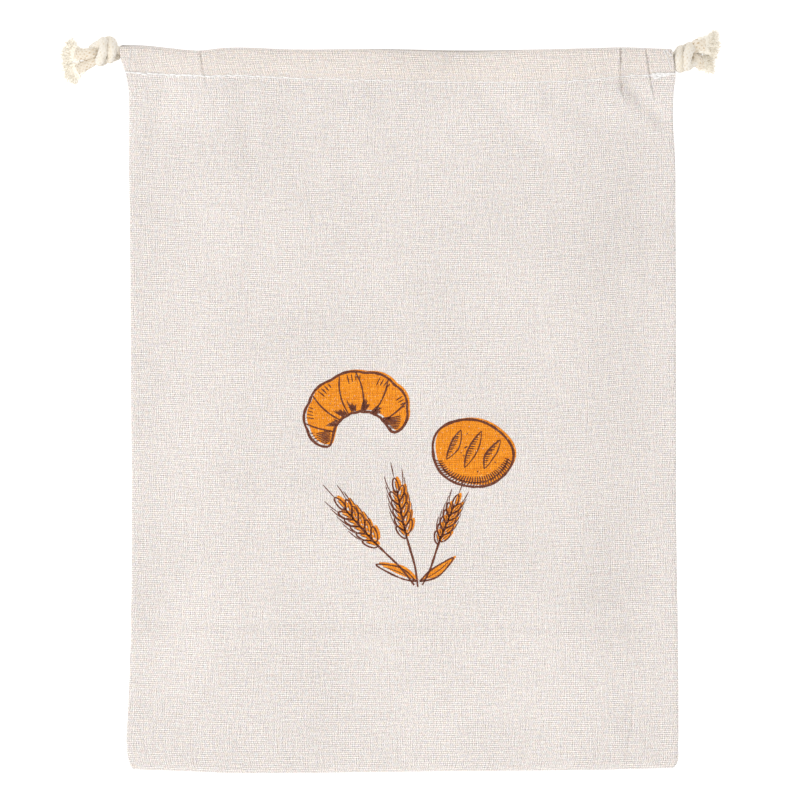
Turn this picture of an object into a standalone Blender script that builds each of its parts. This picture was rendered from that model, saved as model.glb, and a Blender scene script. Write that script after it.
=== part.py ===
"""Linen bread bag with two drawcords, lying flat on its back.

Metres, +Z up. The bag lies on the plane z = 0 with its mouth towards +Y. The origin is on that
plane, under the middle of the bag. Sizes below are in millimetres and become metres as meshes are made.
"""

import math
from collections import namedtuple

import bmesh
import bpy
import numpy as np
from mathutils import Matrix, Vector

MM = 0.001

# ---- cloth and cord -------------------------------------------------------------------------
CLOTH = 1.1               # thickness of the cloth
GAP = 0.3                 # clear space between layers and pieces
CORD_SQUEEZED = 1.7       # the same cord, drawn tight inside its casing

# ---- outline of the bag ---------------------------------------------------------------------
NOMINAL_HALF_WIDTH = 151.0
SideEdge = namedtuple("SideEdge", "y left right")
SIDE_EDGES = (
    SideEdge(-200.0, -149.5, 148.0),
    SideEdge(-197.0, -150.9, 150.4),
    SideEdge(-185.0, -152.9, 151.7),
    SideEdge(-170.0, -152.3, 151.9),
    SideEdge(-147.0, -151.3, 151.8),
    SideEdge(-54.0, -150.0, 150.6),
    SideEdge(25.0, -150.6, 150.6),
    SideEdge(105.0, -151.1, 150.3),
    SideEdge(143.0, -151.6, 149.9),
    SideEdge(160.0, -151.4, 148.9),
    SideEdge(178.0, -151.9, 149.4),
    SideEdge(185.0, -152.9, 150.2),
    SideEdge(190.0, -154.8, 149.6),
    SideEdge(197.0, -156.4, 148.6),
    SideEdge(202.0, -156.6, 148.1),
)
EndEdge = namedtuple("EndEdge", "x top stitch bottom")
END_EDGES = (
    EndEdge(-153.0, 202.0, 186.6, -199.2),
    EndEdge(-140.0, 201.8, 185.8, -199.7),
    EndEdge(-125.0, 200.3, 185.2, -200.2),
    EndEdge(-111.0, 199.0, 184.6, -200.8),
    EndEdge(-95.0, 200.4, 184.8, -201.4),
    EndEdge(-57.0, 199.6, 183.1, -201.3),
    EndEdge(-13.0, 199.9, 182.1, -200.8),
    EndEdge(40.0, 199.1, 181.0, -200.2),
    EndEdge(103.0, 200.2, 182.5, -199.7),
    EndEdge(128.0, 200.8, 184.9, -199.2),
    EndEdge(143.0, 200.2, 185.6, -198.8),
    EndEdge(151.0, 199.9, 185.7, -198.6),
)

# ---- heights --------------------------------------------------------------------------------
SEAM_ALLOWANCE = 11.0     # turned in along each side
SEAM_STITCH = 2.0         # from the side edge to the line where both walls are sewn together
SEAM_TOP = 150.0          # each side seam stops here, and the slit for the cords begins
CHANNEL = 2 * CORD_SQUEEZED + 2 * GAP
MOUTH = 5.0               # clear height between the casings in the middle
MOUTH_AT_ENDS = 2.2
MOUTH_RAMP = 34.0         # length over which the mouth opens from its ends
INSIDE = 10.4             # clear height between the walls in the middle of the bag
PUFF_FOOT = 12.0          # the front wall starts to rise this far in from a side edge
PUFF_RUN = 48.0           # and is at its full height after this run
BOTTOM_FOOT = 4.0         # the same start from the bottom fold
BOTTOM_RUN = 105.0        # and the same run from it
FOLD_FADE = 12.0          # a fold dies out over this distance towards a side seam
SLIT_FADE = 8.0           # but goes on above the seam's top after this distance
HEM_EDGE = 3.0            # the hem's raw edge lies this far below its stitches
HEM_INSET = 7.4           # the hems stop short of the casing's ends, to let the cords turn round
PINCH = 4.2               # length over which a casing narrows to its line of stitches
SQUARE_SHARE = 0.4        # share of the turn at the mouth that keeps the casing's full width
CUT_BACK_SHARE = 0.45     # share of it over which the cloth is then cut back to the hem's width
GATHER_RISE = 0.8         # the casing stands this high over the cords between its gathers
EDGE_ROUND = 0.8

# ---- folds ----------------------------------------------------------------------------------
Gather = namedtuple("Gather", "x half_width depth")
GATHERS = (
    Gather(-141.9, 2.6, 0.6),
    Gather(-111.5, 2.6, 1.0),
    Gather(-101.0, 2.4, 0.5),
    Gather(-51.7, 3.0, 0.5),
    Gather(42.0, 5.0, 0.5),
    Gather(119.9, 2.6, 1.0),
    Gather(137.0, 2.8, 0.9),
)
Fold = namedtuple("Fold", "x0 y0 x1 y1 half_width depth")
FOLDS = (
    Fold(-38.0, 184.0, -30.0, 122.0, 13.0, 1.0),
    Fold(-91.0, 184.0, -85.0, 138.0, 10.0, 1.0),
    Fold(38.0, 182.0, 86.0, 134.0, 11.0, 1.0),
    Fold(77.0, 176.0, 110.0, 158.0, 9.0, 1.0),
    Fold(120.0, 184.0, 146.5, 158.0, 8.0, 1.8),
    Fold(-131.0, 182.0, -141.0, 142.0, 8.0, 1.4),
    Fold(128.5, 104.0, 128.0, 66.0, 9.0, -0.8),
    Fold(129.0, -158.0, 124.0, -197.0, 6.0, 0.8),
    Fold(-150.0, -117.5, 150.0, -119.5, 9.0, 0.8),
    Fold(-150.0, 52.0, 150.0, 50.0, 10.0, 0.4),
)
COLUMN_STEP = 10.0
LEAST_COLUMN = 1.2        # columns closer than this are left out
SEAM_MARGIN = 2.0         # a column stands this far past each seam allowance
RIM = 3                   # columns beside each seam that keep all of their faces
WALL_ROWS = 27            # from the bottom fold to the seam's top
SLIT_ROWS = 4             # from there to the hem's raw edge
FOLD_STEPS = 4
FLAT_ANGLE = math.radians(0.3)

# ---- drawcords ------------------------------------------------------------------------------
UPPER_LANE = 4.3          # lane centre, down from the casing's top edge
LOWER_LANE = UPPER_LANE + 2 * CORD_SQUEEZED + 0.5
TURN_INSET = 1.2          # the far turn of each cord stays this far inside the casing's end
KNOT_VOXEL = 0.6
KNOT_FACES = 0.10         # share of the faces that stay on a knot
KNOT_STEP = 1.6           # spacing of the points along a cord in its knot
KNOT_SETTLE = 6.0         # a knot's own shift is complete this far from the casing
KNOT_ENTRY = 3            # points of a knot that the cord's casing run takes up
LANE_POINTS = 31
LANE_END = 10.0           # the last of them stands this far from the casing's far end
TURN_STEPS = 8
SEAL = 0.02               # vertices closer than this are one
WELD = 0.04               # edges shorter than this are closed up
# Routes through a knot: outward from the casing's end, towards the mouth, up, radius.
KnotPoint = namedtuple("KnotPoint", "out across up radius")
KNOT_FRONT = (
    KnotPoint(0.9, 0.8, 10.4, 1.9),
    KnotPoint(2.3, 1.5, 10.8, 2.5),
    KnotPoint(6.0, 2.0, 6.9, 2.4),
    KnotPoint(11.9, 1.2, 5.1, 2.4),
    KnotPoint(15.2, 1.2, 4.7, 2.4),
    KnotPoint(15.0, 2.6, 5.7, 2.4),
    KnotPoint(12.2, 4.1, 7.5, 2.4),
    KnotPoint(9.3, 5.8, 10.1, 2.5),
    KnotPoint(9.4, 1.0, 12.0, 2.7),
    KnotPoint(10.9, -3.4, 10.1, 2.7),
    KnotPoint(11.9, -5.3, 6.1, 2.5),
    KnotPoint(9.9, -5.0, 3.3, 2.4),
    KnotPoint(7.9, -1.5, 2.7, 2.4),
    KnotPoint(9.9, 1.4, 3.1, 2.4),
    KnotPoint(13.2, 0.4, 6.3, 2.5),
)
KNOT_BACK = (
    KnotPoint(0.9, -0.6, 3.5, 1.9),
    KnotPoint(2.5, -2.1, 5.9, 2.5),
    KnotPoint(6.0, -2.8, 6.1, 2.4),
    KnotPoint(11.4, -2.4, 4.5, 2.4),
    KnotPoint(15.0, -1.2, 2.7, 2.4),
    KnotPoint(14.8, 1.4, 2.7, 2.4),
    KnotPoint(11.7, 3.8, 3.3, 2.4),
    KnotPoint(6.9, 6.4, 5.7, 2.4),
    KnotPoint(4.8, 5.4, 9.9, 2.6),
    KnotPoint(4.5, 1.4, 12.4, 2.7),
    KnotPoint(4.8, -1.6, 10.4, 2.6),
    KnotPoint(5.6, -3.6, 6.1, 2.4),
    KnotPoint(6.9, -3.5, 2.7, 2.4),
    KnotPoint(9.9, -0.9, 2.6, 2.4),
    KnotPoint(12.9, -3.0, 4.7, 2.5),
)
LEFT_UPPER_TAIL = (
    KnotPoint(16.2, -0.4, 7.4, 3.0),
    KnotPoint(20.2, -1.0, 5.6, 3.2),
    KnotPoint(23.4, -0.8, 3.9, 3.2),
    KnotPoint(25.2, -0.4, 3.5, 3.1),
)
LEFT_LOWER_TAIL = (
    KnotPoint(14.8, -4.6, 5.9, 2.6),
    KnotPoint(18.4, -6.6, 4.9, 2.8),
    KnotPoint(21.8, -8.4, 3.7, 3.0),
    KnotPoint(24.0, -9.5, 3.3, 3.0),
)
RIGHT_UPPER_TAIL = (
    KnotPoint(11.8, 7.9, 6.6, 3.1),
    KnotPoint(13.4, 10.0, 7.0, 3.5),
    KnotPoint(16.4, 10.9, 6.0, 3.6),
)
RIGHT_LOWER_TAIL = (
    KnotPoint(13.0, 2.1, 5.8, 2.8),
    KnotPoint(14.2, 2.1, 4.6, 3.0),
    KnotPoint(15.3, 2.4, 3.8, 3.0),
)
# A frayed end is a fan of locks about the tail's own direction.
Fray = namedtuple("Fray", "length spread")
FRAY_LOCKS = 6
FRAY_ROOT = 1.15
FRAY_TIP = 0.45
FRAY_FLOOR = 0.7          # height of a lock's tip
FRAY_REACH = 0.7          # the fan's middle stands out this far past its length
FRAY_SHORTER = 0.25       # share by which the outermost locks fall short
FRAY_UNEVEN = 0.12        # share by which every other lock falls short
FRAY_APART = 0.6          # width of the fan at its root

DrawcordSpec = namedtuple(
    "DrawcordSpec", "name side lane mirror outward upward front_tail front_fray back_tail back_fray")
DRAWCORDS = (
    DrawcordSpec("drawcord_left", -1, UPPER_LANE, 1.0, 0.0, 0.2,
                 LEFT_UPPER_TAIL, Fray(6.6, math.radians(92.0)),
                 LEFT_LOWER_TAIL, Fray(7.8, math.radians(88.0))),
    DrawcordSpec("drawcord_right", 1, LOWER_LANE, -1.0, -1.6, 3.7,
                 RIGHT_LOWER_TAIL, Fray(6.0, math.radians(66.0)),
                 RIGHT_UPPER_TAIL, Fray(7.0, math.radians(72.0))),
)

# ---- derived heights (middle of the cloth's thickness) ---------------------------------------
BACK_WALL = CLOTH / 2
SIDE_FRONT_WALL = BACK_WALL + 3 * CLOTH + 3 * GAP
LAYERS_PINCHED = CLOTH + GAP
LAYERS_OPEN = CLOTH + CHANNEL
BACK_HEM = BACK_WALL + LAYERS_OPEN
FRONT_HEM = BACK_HEM + CLOTH + MOUTH
BOTTOM_RADIUS = (SIDE_FRONT_WALL - BACK_WALL) / 2
MIDDLE_END = END_EDGES[len(END_EDGES) // 2]
WALL_LENGTH = MIDDLE_END.stitch - MIDDLE_END.bottom - CLOTH / 2 - BOTTOM_RADIUS
SEAM_SHARE = 1.0 - (MIDDLE_END.stitch - SEAM_TOP) / WALL_LENGTH


def ease(t):
    """Smooth step from 0 to 1."""
    t = min(max(t, 0.0), 1.0)
    return t * t * (3.0 - 2.0 * t)


def read(table, key, column, value):
    """Value of a column where the key column has the given value, on straight runs between rows."""
    keys = [getattr(row, key) for row in table]
    return float(np.interp(value, keys, [getattr(row, column) for row in table]))


def edge_x(y, side):
    return read(SIDE_EDGES, "y", "left" if side < 0 else "right", y)


def across(x_nominal, y, inset=0.0):
    """Place a nominal column between the side edges that the bag has at y."""
    share = (x_nominal + NOMINAL_HALF_WIDTH) / (2 * NOMINAL_HALF_WIDTH)
    left = edge_x(y, -1) + inset
    right = edge_x(y, 1) - inset
    return left + (right - left) * share


def trough(distance, half_width):
    """1 on a fold's line, 0 from its half width outwards."""
    return 1.0 - ease(abs(distance) / half_width)


def fold_depth(x, y):
    """How far the folds of the front wall press it down at a point."""
    depth = 0.0
    for fold in FOLDS:
        start = Vector((fold.x0, fold.y0))
        run = Vector((fold.x1, fold.y1)) - start
        offset = Vector((x, y)) - start
        share = offset.dot(run) / run.length_squared
        fade = ease((share + 0.12) / 0.24) * ease((1.12 - share) / 0.24)
        distance = (offset.x * run.y - offset.y * run.x) / run.length
        depth += fold.depth * fade * trough(distance, fold.half_width)
    return depth


def gather_rise(x):
    """Height of the front casing over its cords, lower in each gather."""
    rise = GATHER_RISE
    for gather in GATHERS:
        rise -= GATHER_RISE * gather.depth * trough(x - gather.x, gather.half_width)
    return max(rise, 0.0)


def front_hem_height(x):
    end_distance = NOMINAL_HALF_WIDTH - abs(x)
    return FRONT_HEM - (MOUTH - MOUTH_AT_ENDS) * (1.0 - ease((end_distance - HEM_INSET) / MOUTH_RAMP))


def front_wall_height(x, y, x_nominal):
    """Middle of the front wall's thickness, between the bottom fold and the casing's stitches."""
    stitch = read(END_EDGES, "x", "stitch", x_nominal)
    bottom = read(END_EDGES, "x", "bottom", x_nominal)
    side_distance = min(x - edge_x(y, -1), edge_x(y, 1) - x)
    puff = ease((side_distance - PUFF_FOOT) / PUFF_RUN) * ease((y - bottom - BOTTOM_FOOT) / BOTTOM_RUN)
    height = SIDE_FRONT_WALL + (INSIDE + CLOTH - SIDE_FRONT_WALL + BACK_WALL) * puff
    past_seam = ease((y - SEAM_TOP) / SLIT_FADE)
    height -= fold_depth(x, y) * ease((side_distance - PUFF_FOOT) / FOLD_FADE + past_seam)
    at_stitch = front_hem_height(x_nominal) + LAYERS_PINCHED
    return height + (at_stitch - height) * ease((y - SEAM_TOP) / (stitch - SEAM_TOP))


# ---- cloth ----------------------------------------------------------------------------------
Row = namedtuple("Row", "part share")


def cloth_rows():
    """Rows across the cloth, from the back hem's raw edge round the bag to the front hem's."""
    casing = [0.0, 0.3, 0.6, 1.0]
    turn = [step / FOLD_STEPS for step in range(1, FOLD_STEPS)]
    hem_edge = 1.0 - HEM_EDGE / WALL_LENGTH
    wall = [*np.linspace(0.0, SEAM_SHARE, WALL_ROWS), *np.linspace(SEAM_SHARE, hem_edge, SLIT_ROWS)[1:], 1.0]
    rows = [Row("back_hem", None)] + [Row("back_hem", s) for s in casing + [2.0]]
    rows += [Row("back_turn", s) for s in turn]
    rows += [Row("back_casing", s) for s in [2.0] + casing[:0:-1]]
    rows += [Row("back_wall", s) for s in wall[::-1]]
    rows += [Row("bottom", s) for s in turn]
    rows += [Row("front_wall", s) for s in wall]
    rows += [Row("front_casing", s) for s in casing[1:] + [2.0]]
    rows += [Row("front_turn", s) for s in turn]
    rows += [Row("front_hem", s) for s in [2.0] + casing[::-1]] + [Row("front_hem", None)]
    return rows


def cloth_columns():
    """Nominal x of the columns: both seams, the gathers, and even steps between them."""
    edge = NOMINAL_HALF_WIDTH
    marks = [-edge, -edge + SEAM_STITCH, edge - SEAM_STITCH, edge]
    marks += [-edge + SEAM_ALLOWANCE + SEAM_MARGIN, edge - SEAM_ALLOWANCE - SEAM_MARGIN]
    for gather in GATHERS:
        marks += [gather.x - gather.half_width, gather.x, gather.x + gather.half_width]
    marks.sort()
    columns = [marks[0]]
    for mark in marks[1:]:
        start = columns[-1]
        if mark - start < LEAST_COLUMN:
            continue
        steps = max(1, math.ceil((mark - start) / COLUMN_STEP))
        columns += [start + (mark - start) * (n + 1) / steps for n in range(steps)]
    return columns


def cloth_point(row, x_nominal):
    """Middle of the cloth's thickness in one row and column."""
    top = read(END_EDGES, "x", "top", x_nominal)
    stitch = read(END_EDGES, "x", "stitch", x_nominal)
    bottom = read(END_EDGES, "x", "bottom", x_nominal)
    side, _, part = row.part.partition("_")
    front = side == "front"
    rise = gather_rise(x_nominal) if front else 0.0
    layers = LAYERS_OPEN + rise
    radius = layers / 2
    turn_y = top - CLOTH / 2 - radius
    base = front_hem_height(x_nominal) if front else BACK_WALL
    if row.part == "bottom":
        angle = math.pi * (0.5 + row.share)
        y = bottom + CLOTH / 2 + BOTTOM_RADIUS * (1.0 - math.sin(angle - math.pi / 2))
        z = BACK_WALL + BOTTOM_RADIUS * (1.0 - math.cos(math.pi * row.share))
        return Vector((across(x_nominal, y), y, z))
    if part == "turn":
        swing = math.pi * (row.share - 0.5)
        y = turn_y + radius * math.cos(swing)
        upwards = -math.sin(swing)
        z = base + radius * (1.0 + upwards)
        towards_hem = row.share if front else 1.0 - row.share
        inset = HEM_INSET * ease((towards_hem - SQUARE_SHARE) / CUT_BACK_SHARE)
        return Vector((across(x_nominal, y, inset), y, z))
    if part == "wall":
        y = bottom + CLOTH / 2 + BOTTOM_RADIUS
        y += (stitch - y) * row.share
        x = across(x_nominal, y)
        return Vector((x, y, front_wall_height(x, y, x_nominal) if front else BACK_WALL))
    if row.share is None:
        y = stitch - HEM_EDGE
        x = across(x_nominal, y, HEM_INSET)
        wall = front_wall_height(x, y, x_nominal) - 2 * LAYERS_PINCHED if front else base
        return Vector((x, y, wall + LAYERS_PINCHED))
    if row.share > 1.0:
        y = turn_y
        opening = 1.0
    else:
        y = stitch + PINCH * row.share
        opening = ease(row.share)
    apart = LAYERS_PINCHED + (layers - LAYERS_PINCHED) * opening
    outer_layer = part == "casing"
    if front:
        z = base + (apart if outer_layer else 0.0)
    else:
        z = base + (0.0 if outer_layer else apart)
    return Vector((across(x_nominal, y, 0.0 if outer_layer else HEM_INSET), y, z))


def offset_section(points, distance):
    """Points of one column moved off the cloth's middle, square to it, with mitred corners."""
    normals = []
    for start, end in zip(points, points[1:]):
        run = (end - start).normalized()
        normals.append(Vector((0.0, -run.z, run.y)).normalized())
    moved = []
    for index, point in enumerate(points):
        before = normals[max(index - 1, 0)]
        after = normals[min(index, len(normals) - 1)]
        middle = (before + after).normalized()
        moved.append(point + middle * (distance / max(middle.dot(after), 0.7)))
    return moved


def sew_side(bm, inner, seam_rows, edge, stitch_column, inward):
    """Join both walls along one side and hang the double seam allowance inside."""
    back_rows, turn_rows, front_rows = seam_rows
    low = CLOTH + GAP
    high = low + 2 * CLOTH + GAP
    tip = inward * (SEAM_ALLOWANCE - SEAM_STITCH)
    strips = []
    for back, front in zip(back_rows, front_rows):
        at = inner[back][stitch_column].co
        corners = [(0.0, low), (tip, low), (tip, high), (0.0, high)]
        allowance = [bm.verts.new((at.x + dx * MM, at.y, z * MM)) for dx, z in corners]
        strips.append([inner[back][stitch_column], *allowance, inner[front][stitch_column]])
    for upper, lower in zip(strips, strips[1:]):
        for index in range(len(upper) - 1):
            bm.faces.new((upper[index], upper[index + 1], lower[index + 1], lower[index]))
    for index in range(len(back_rows) - 1):
        bm.faces.new((inner[back_rows[index]][edge], inner[back_rows[index + 1]][edge],
                      inner[front_rows[index + 1]][edge], inner[front_rows[index]][edge]))
    bm.faces.new([*strips[0], inner[front_rows[0]][edge], inner[back_rows[0]][edge]])
    around = [back_rows[-1], *turn_rows, front_rows[-1]]
    bm.faces.new([inner[row][edge] for row in around])
    bm.faces.new([inner[row][stitch_column] for row in around] + [strips[-1][4], strips[-1][1]])
    bm.faces.new(strips[-1][1:5])


def merge_flat_faces(bm, surface):
    """Merge faces where the cloth is flat, away from its edges and seams."""
    edges = [edge for edge in bm.edges if surface.issuperset(edge.verts)]
    bmesh.ops.dissolve_limit(bm, angle_limit=FLAT_ANGLE, verts=list(surface), edges=edges)
    bmesh.ops.triangulate(bm, faces=bm.faces, quad_method="BEAUTY", ngon_method="BEAUTY")


def build_cloth(material, collection):
    rows = cloth_rows()
    columns = cloth_columns()
    bm = bmesh.new()
    sections = []
    for x_nominal in columns:
        middle = [cloth_point(row, x_nominal) for row in rows]
        sections.append((offset_section(middle, CLOTH / 2), offset_section(middle, -CLOTH / 2)))
    last = len(columns) - 1
    outer, inner = [], []
    for index in range(len(rows)):
        outer_row, inner_row = [], []
        for column, (outside, inside) in enumerate(sections):
            tuck = EDGE_ROUND * ((column == 0) - (column == last))
            outer_row.append(bm.verts.new((outside[index] + Vector((tuck, 0.0, 0.0))) * MM))
            inner_row.append(bm.verts.new(inside[index] * MM))
        outer.append(outer_row)
        inner.append(inner_row)

    back_wall = [i for i, row in enumerate(rows) if row.part == "back_wall"]
    front_wall = [i for i, row in enumerate(rows) if row.part == "front_wall"][::-1]
    turn_rows = [i for i, row in enumerate(rows) if row.part == "bottom"]
    sewn = [k for k, i in enumerate(back_wall) if rows[i].share <= SEAM_SHARE]
    back_rows = [back_wall[k] for k in sewn]
    front_rows = [front_wall[k] for k in sewn]

    for i in range(len(rows) - 1):
        for j in range(last):
            bm.faces.new((outer[i][j], outer[i][j + 1], outer[i + 1][j + 1], outer[i + 1][j]))
            in_seam = j in (0, last - 1) and back_rows[0] <= i < front_rows[0]
            if not in_seam:
                bm.faces.new((inner[i][j], inner[i + 1][j], inner[i + 1][j + 1], inner[i][j + 1]))
        for j in (0, last):
            bm.faces.new((outer[i][j], outer[i + 1][j], inner[i + 1][j], inner[i][j]))
    for i in (0, len(rows) - 1):
        for j in range(last):
            bm.faces.new((outer[i][j], inner[i][j], inner[i][j + 1], outer[i][j + 1]))
    surface = [vert for grid in (outer, inner) for line in grid[1:-1] for vert in line[RIM:-RIM]]
    seam_rows = (back_rows, turn_rows, front_rows)
    sew_side(bm, inner, seam_rows, 0, 1, 1.0)
    sew_side(bm, inner, seam_rows, last, last - 1, -1.0)
    bmesh.ops.recalc_face_normals(bm, faces=bm.faces)
    merge_flat_faces(bm, set(surface))
    return finish_mesh("bag_cloth", bm, material, collection)


# ---- drawcords ------------------------------------------------------------------------------
def smooth_route(points, step):
    """Evenly spaced points on a smooth curve through the route's own points (x, y, z, radius)."""
    points = [np.array(point, dtype=float) for point in points]
    padded = [2 * points[0] - points[1], *points, 2 * points[-1] - points[-2]]
    samples = []
    for a, b, c, d in zip(padded, padded[1:], padded[2:], padded[3:]):
        count = max(1, round(float(np.linalg.norm((c - b)[:3])) / step))
        for n in range(count):
            t = n / count
            samples.append(0.5 * (2 * b + (c - a) * t + (2 * a - 5 * b + 4 * c - d) * t ** 2
                                  + (3 * b - a - 3 * c + d) * t ** 3))
    samples.append(points[-1])
    return samples


def tube(name, points, bevel_resolution=2):
    """Closed mesh tube along points (x, y, z, radius) in millimetres."""
    curve = bpy.data.curves.new(name, "CURVE")
    curve.dimensions = "3D"
    curve.bevel_depth = MM
    curve.bevel_resolution = bevel_resolution
    curve.use_fill_caps = True
    spline = curve.splines.new("POLY")
    spline.points.add(len(points) - 1)
    for target, (x, y, z, radius) in zip(spline.points, points):
        target.co = (x * MM, y * MM, z * MM, 1.0)
        target.radius = radius
    holder = bpy.data.objects.new(name, curve)
    bpy.context.scene.collection.objects.link(holder)
    evaluated = holder.evaluated_get(bpy.context.evaluated_depsgraph_get())
    mesh = bpy.data.meshes.new_from_object(evaluated)
    bpy.data.objects.remove(holder)
    bpy.data.curves.remove(curve)
    return mesh


def join_meshes(meshes):
    bm = bmesh.new()
    for mesh in meshes:
        bm.from_mesh(mesh)
        bpy.data.meshes.remove(mesh)
    bmesh.ops.remove_doubles(bm, verts=bm.verts, dist=SEAL * MM)
    return bm


def lane_point(spec, casing, x_nominal):
    """Centre of a drawcord in the front or back casing."""
    y = read(END_EDGES, "x", "top", x_nominal) - spec.lane
    if casing == "front":
        z = front_hem_height(x_nominal) + CLOTH / 2 + GAP + CORD_SQUEEZED
    else:
        z = BACK_WALL + CLOTH / 2 + GAP + CORD_SQUEEZED
    return (across(x_nominal, y), y, z, CORD_SQUEEZED)


def knot_route(spec, knot, tail=()):
    """A cord's route through its knot and along a tail, in the bag's own axes."""
    end = lane_point(spec, "back", spec.side * NOMINAL_HALF_WIDTH)
    route = []
    for point in knot:
        settled = min(point.out / KNOT_SETTLE, 1.0)
        out = point.out + spec.outward * settled
        shift = point.across * spec.mirror + spec.upward * settled
        route.append((end[0] + spec.side * out, end[1] + shift, point.up, point.radius))
    for point in tail:
        route.append((end[0] + spec.side * point.out, end[1] + point.across, point.up, point.radius))
    return route


def casing_run(spec):
    """Route from inside the knot along the front casing, round its far end and back."""
    edge = NOMINAL_HALF_WIDTH
    stations = [*np.linspace(edge, -edge, LANE_POINTS)[:-1], -edge + LANE_END]
    front = [lane_point(spec, "front", spec.side * s) for s in stations]
    back = [lane_point(spec, "back", spec.side * s) for s in reversed(stations)]
    start = np.array(front[-1])
    end = np.array(back[0])
    radius = (start[2] - end[2]) / 2
    middle = (start + end) / 2
    turn_x = abs(edge_x(middle[1], -spec.side)) - TURN_INSET - CORD_SQUEEZED - radius
    turn = []
    for step in range(TURN_STEPS + 1):
        angle = math.pi * step / TURN_STEPS
        x = -spec.side * (turn_x + radius * math.sin(angle))
        turn.append((x, middle[1], middle[2] + radius * math.cos(angle), CORD_SQUEEZED))
    into_front = knot_route(spec, KNOT_FRONT[:KNOT_ENTRY])[::-1]
    into_back = knot_route(spec, KNOT_BACK[:KNOT_ENTRY])
    slim = [(x, y, z, CORD_SQUEEZED) for x, y, z, _ in into_front[1:]]
    slim_back = [(x, y, z, CORD_SQUEEZED) for x, y, z, _ in into_back[:-1]]
    return slim + front + turn + back + slim_back


def add_fray(bm, route, fray):
    """Fan of tapered locks from the end of a tail, resting on the floor."""
    end = Vector(route[-1][:3])
    heading = end - Vector(route[-2][:3])
    middle_angle = math.atan2(heading.y, heading.x)
    for lock in range(FRAY_LOCKS):
        share = lock / (FRAY_LOCKS - 1) - 0.5
        angle = middle_angle + fray.spread * share
        length = fray.length * (1.0 - FRAY_SHORTER * abs(share) - FRAY_UNEVEN * (lock % 2))
        flat = Vector((math.cos(angle), math.sin(angle), 0.0))
        root = end + Vector((-flat.y, flat.x, 0.0)) * FRAY_APART * share
        tip = end + flat * (length + FRAY_REACH)
        tip.z = FRAY_FLOOR
        run = tip - root
        turn = run.to_track_quat("Z", "Y").to_matrix().to_4x4()
        place = Matrix.Translation((root + tip) / 2 * MM) @ turn
        bmesh.ops.create_cone(bm, cap_ends=True, segments=4, radius1=FRAY_ROOT * MM,
                              radius2=FRAY_TIP * MM, depth=run.length * MM, matrix=place)


def build_drawcord(spec, material, collection, helpers):
    strands = []
    locks = bmesh.new()
    halves = (
        (KNOT_FRONT, spec.front_tail, spec.front_fray),
        (KNOT_BACK, spec.back_tail, spec.back_fray),
    )
    for knot_points, tail, fray in halves:
        route = smooth_route(knot_route(spec, knot_points, tail), KNOT_STEP)
        strands.append(tube("strand", route))
        add_fray(locks, route, fray)
    knot = finish_mesh(spec.name, join_meshes(strands), material, collection)
    remesh = knot.modifiers.new("Fuse strands", "REMESH")
    remesh.mode = "VOXEL"
    remesh.voxel_size = KNOT_VOXEL * MM
    thin_out = knot.modifiers.new("Thin out faces", "DECIMATE")
    thin_out.ratio = KNOT_FACES
    run_mesh = join_meshes([tube("run", casing_run(spec))])
    for label, part in (("run", run_mesh), ("fray", locks)):
        helper = finish_mesh(f"{spec.name}_{label}", part, material, helpers)
        helper.hide_render = True
        helper.display_type = "WIRE"
        union = knot.modifiers.new(f"Join {label}", "BOOLEAN")
        union.operation = "UNION"
        union.use_self = label == "fray"
        union.object = helper
    weld = knot.modifiers.new("Close short edges", "WELD")
    weld.merge_threshold = WELD * MM
    return knot


# ---- scene ----------------------------------------------------------------------------------
def make_material(name, color, roughness):
    material = bpy.data.materials.new(name)
    material.use_nodes = True
    shader = material.node_tree.nodes["Principled BSDF"]
    shader.inputs["Base Color"].default_value = (*color, 1.0)
    shader.inputs["Roughness"].default_value = roughness
    shader.inputs["Metallic"].default_value = 0.0
    return material


def finish_mesh(name, bm, material, collection):
    """Turn a bmesh into an object of the collection, shaded smooth with its sharp edges kept."""
    mesh = bpy.data.meshes.new(name)
    bm.to_mesh(mesh)
    bm.free()
    mesh.materials.append(material)
    mesh.shade_smooth()
    mesh.set_sharp_from_angle(angle=math.radians(40.0))
    holder = bpy.data.objects.new(name, mesh)
    collection.objects.link(holder)
    return holder


def main():
    for leftover in list(bpy.data.objects):
        bpy.data.objects.remove(leftover, do_unlink=True)
    parts = bpy.data.collections.new("linen_bread_bag")
    helpers = bpy.data.collections.new("linen_bread_bag_helpers")
    for collection in (parts, helpers):
        bpy.context.scene.collection.children.link(collection)
    linen = make_material("linen", (0.80, 0.75, 0.71), 0.9)
    cotton = make_material("cotton_cord", (0.87, 0.83, 0.76), 0.85)
    build_cloth(linen, parts)
    for spec in DRAWCORDS:
        build_drawcord(spec, cotton, parts, helpers)


main()
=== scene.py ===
"""Looks of the linen bread bag: woven cloth, cotton drawcords with frayed knots, sewing and print.

Lengths in the tables are millimetres in the part's own axes: +Y towards the mouth, +Z up.
"""

import random
from math import atan2, ceil, cos, hypot, pi, radians, sin, sqrt

import bmesh
import bpy
import numpy as np
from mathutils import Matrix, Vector, noise
from mathutils.bvhtree import BVHTree


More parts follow.
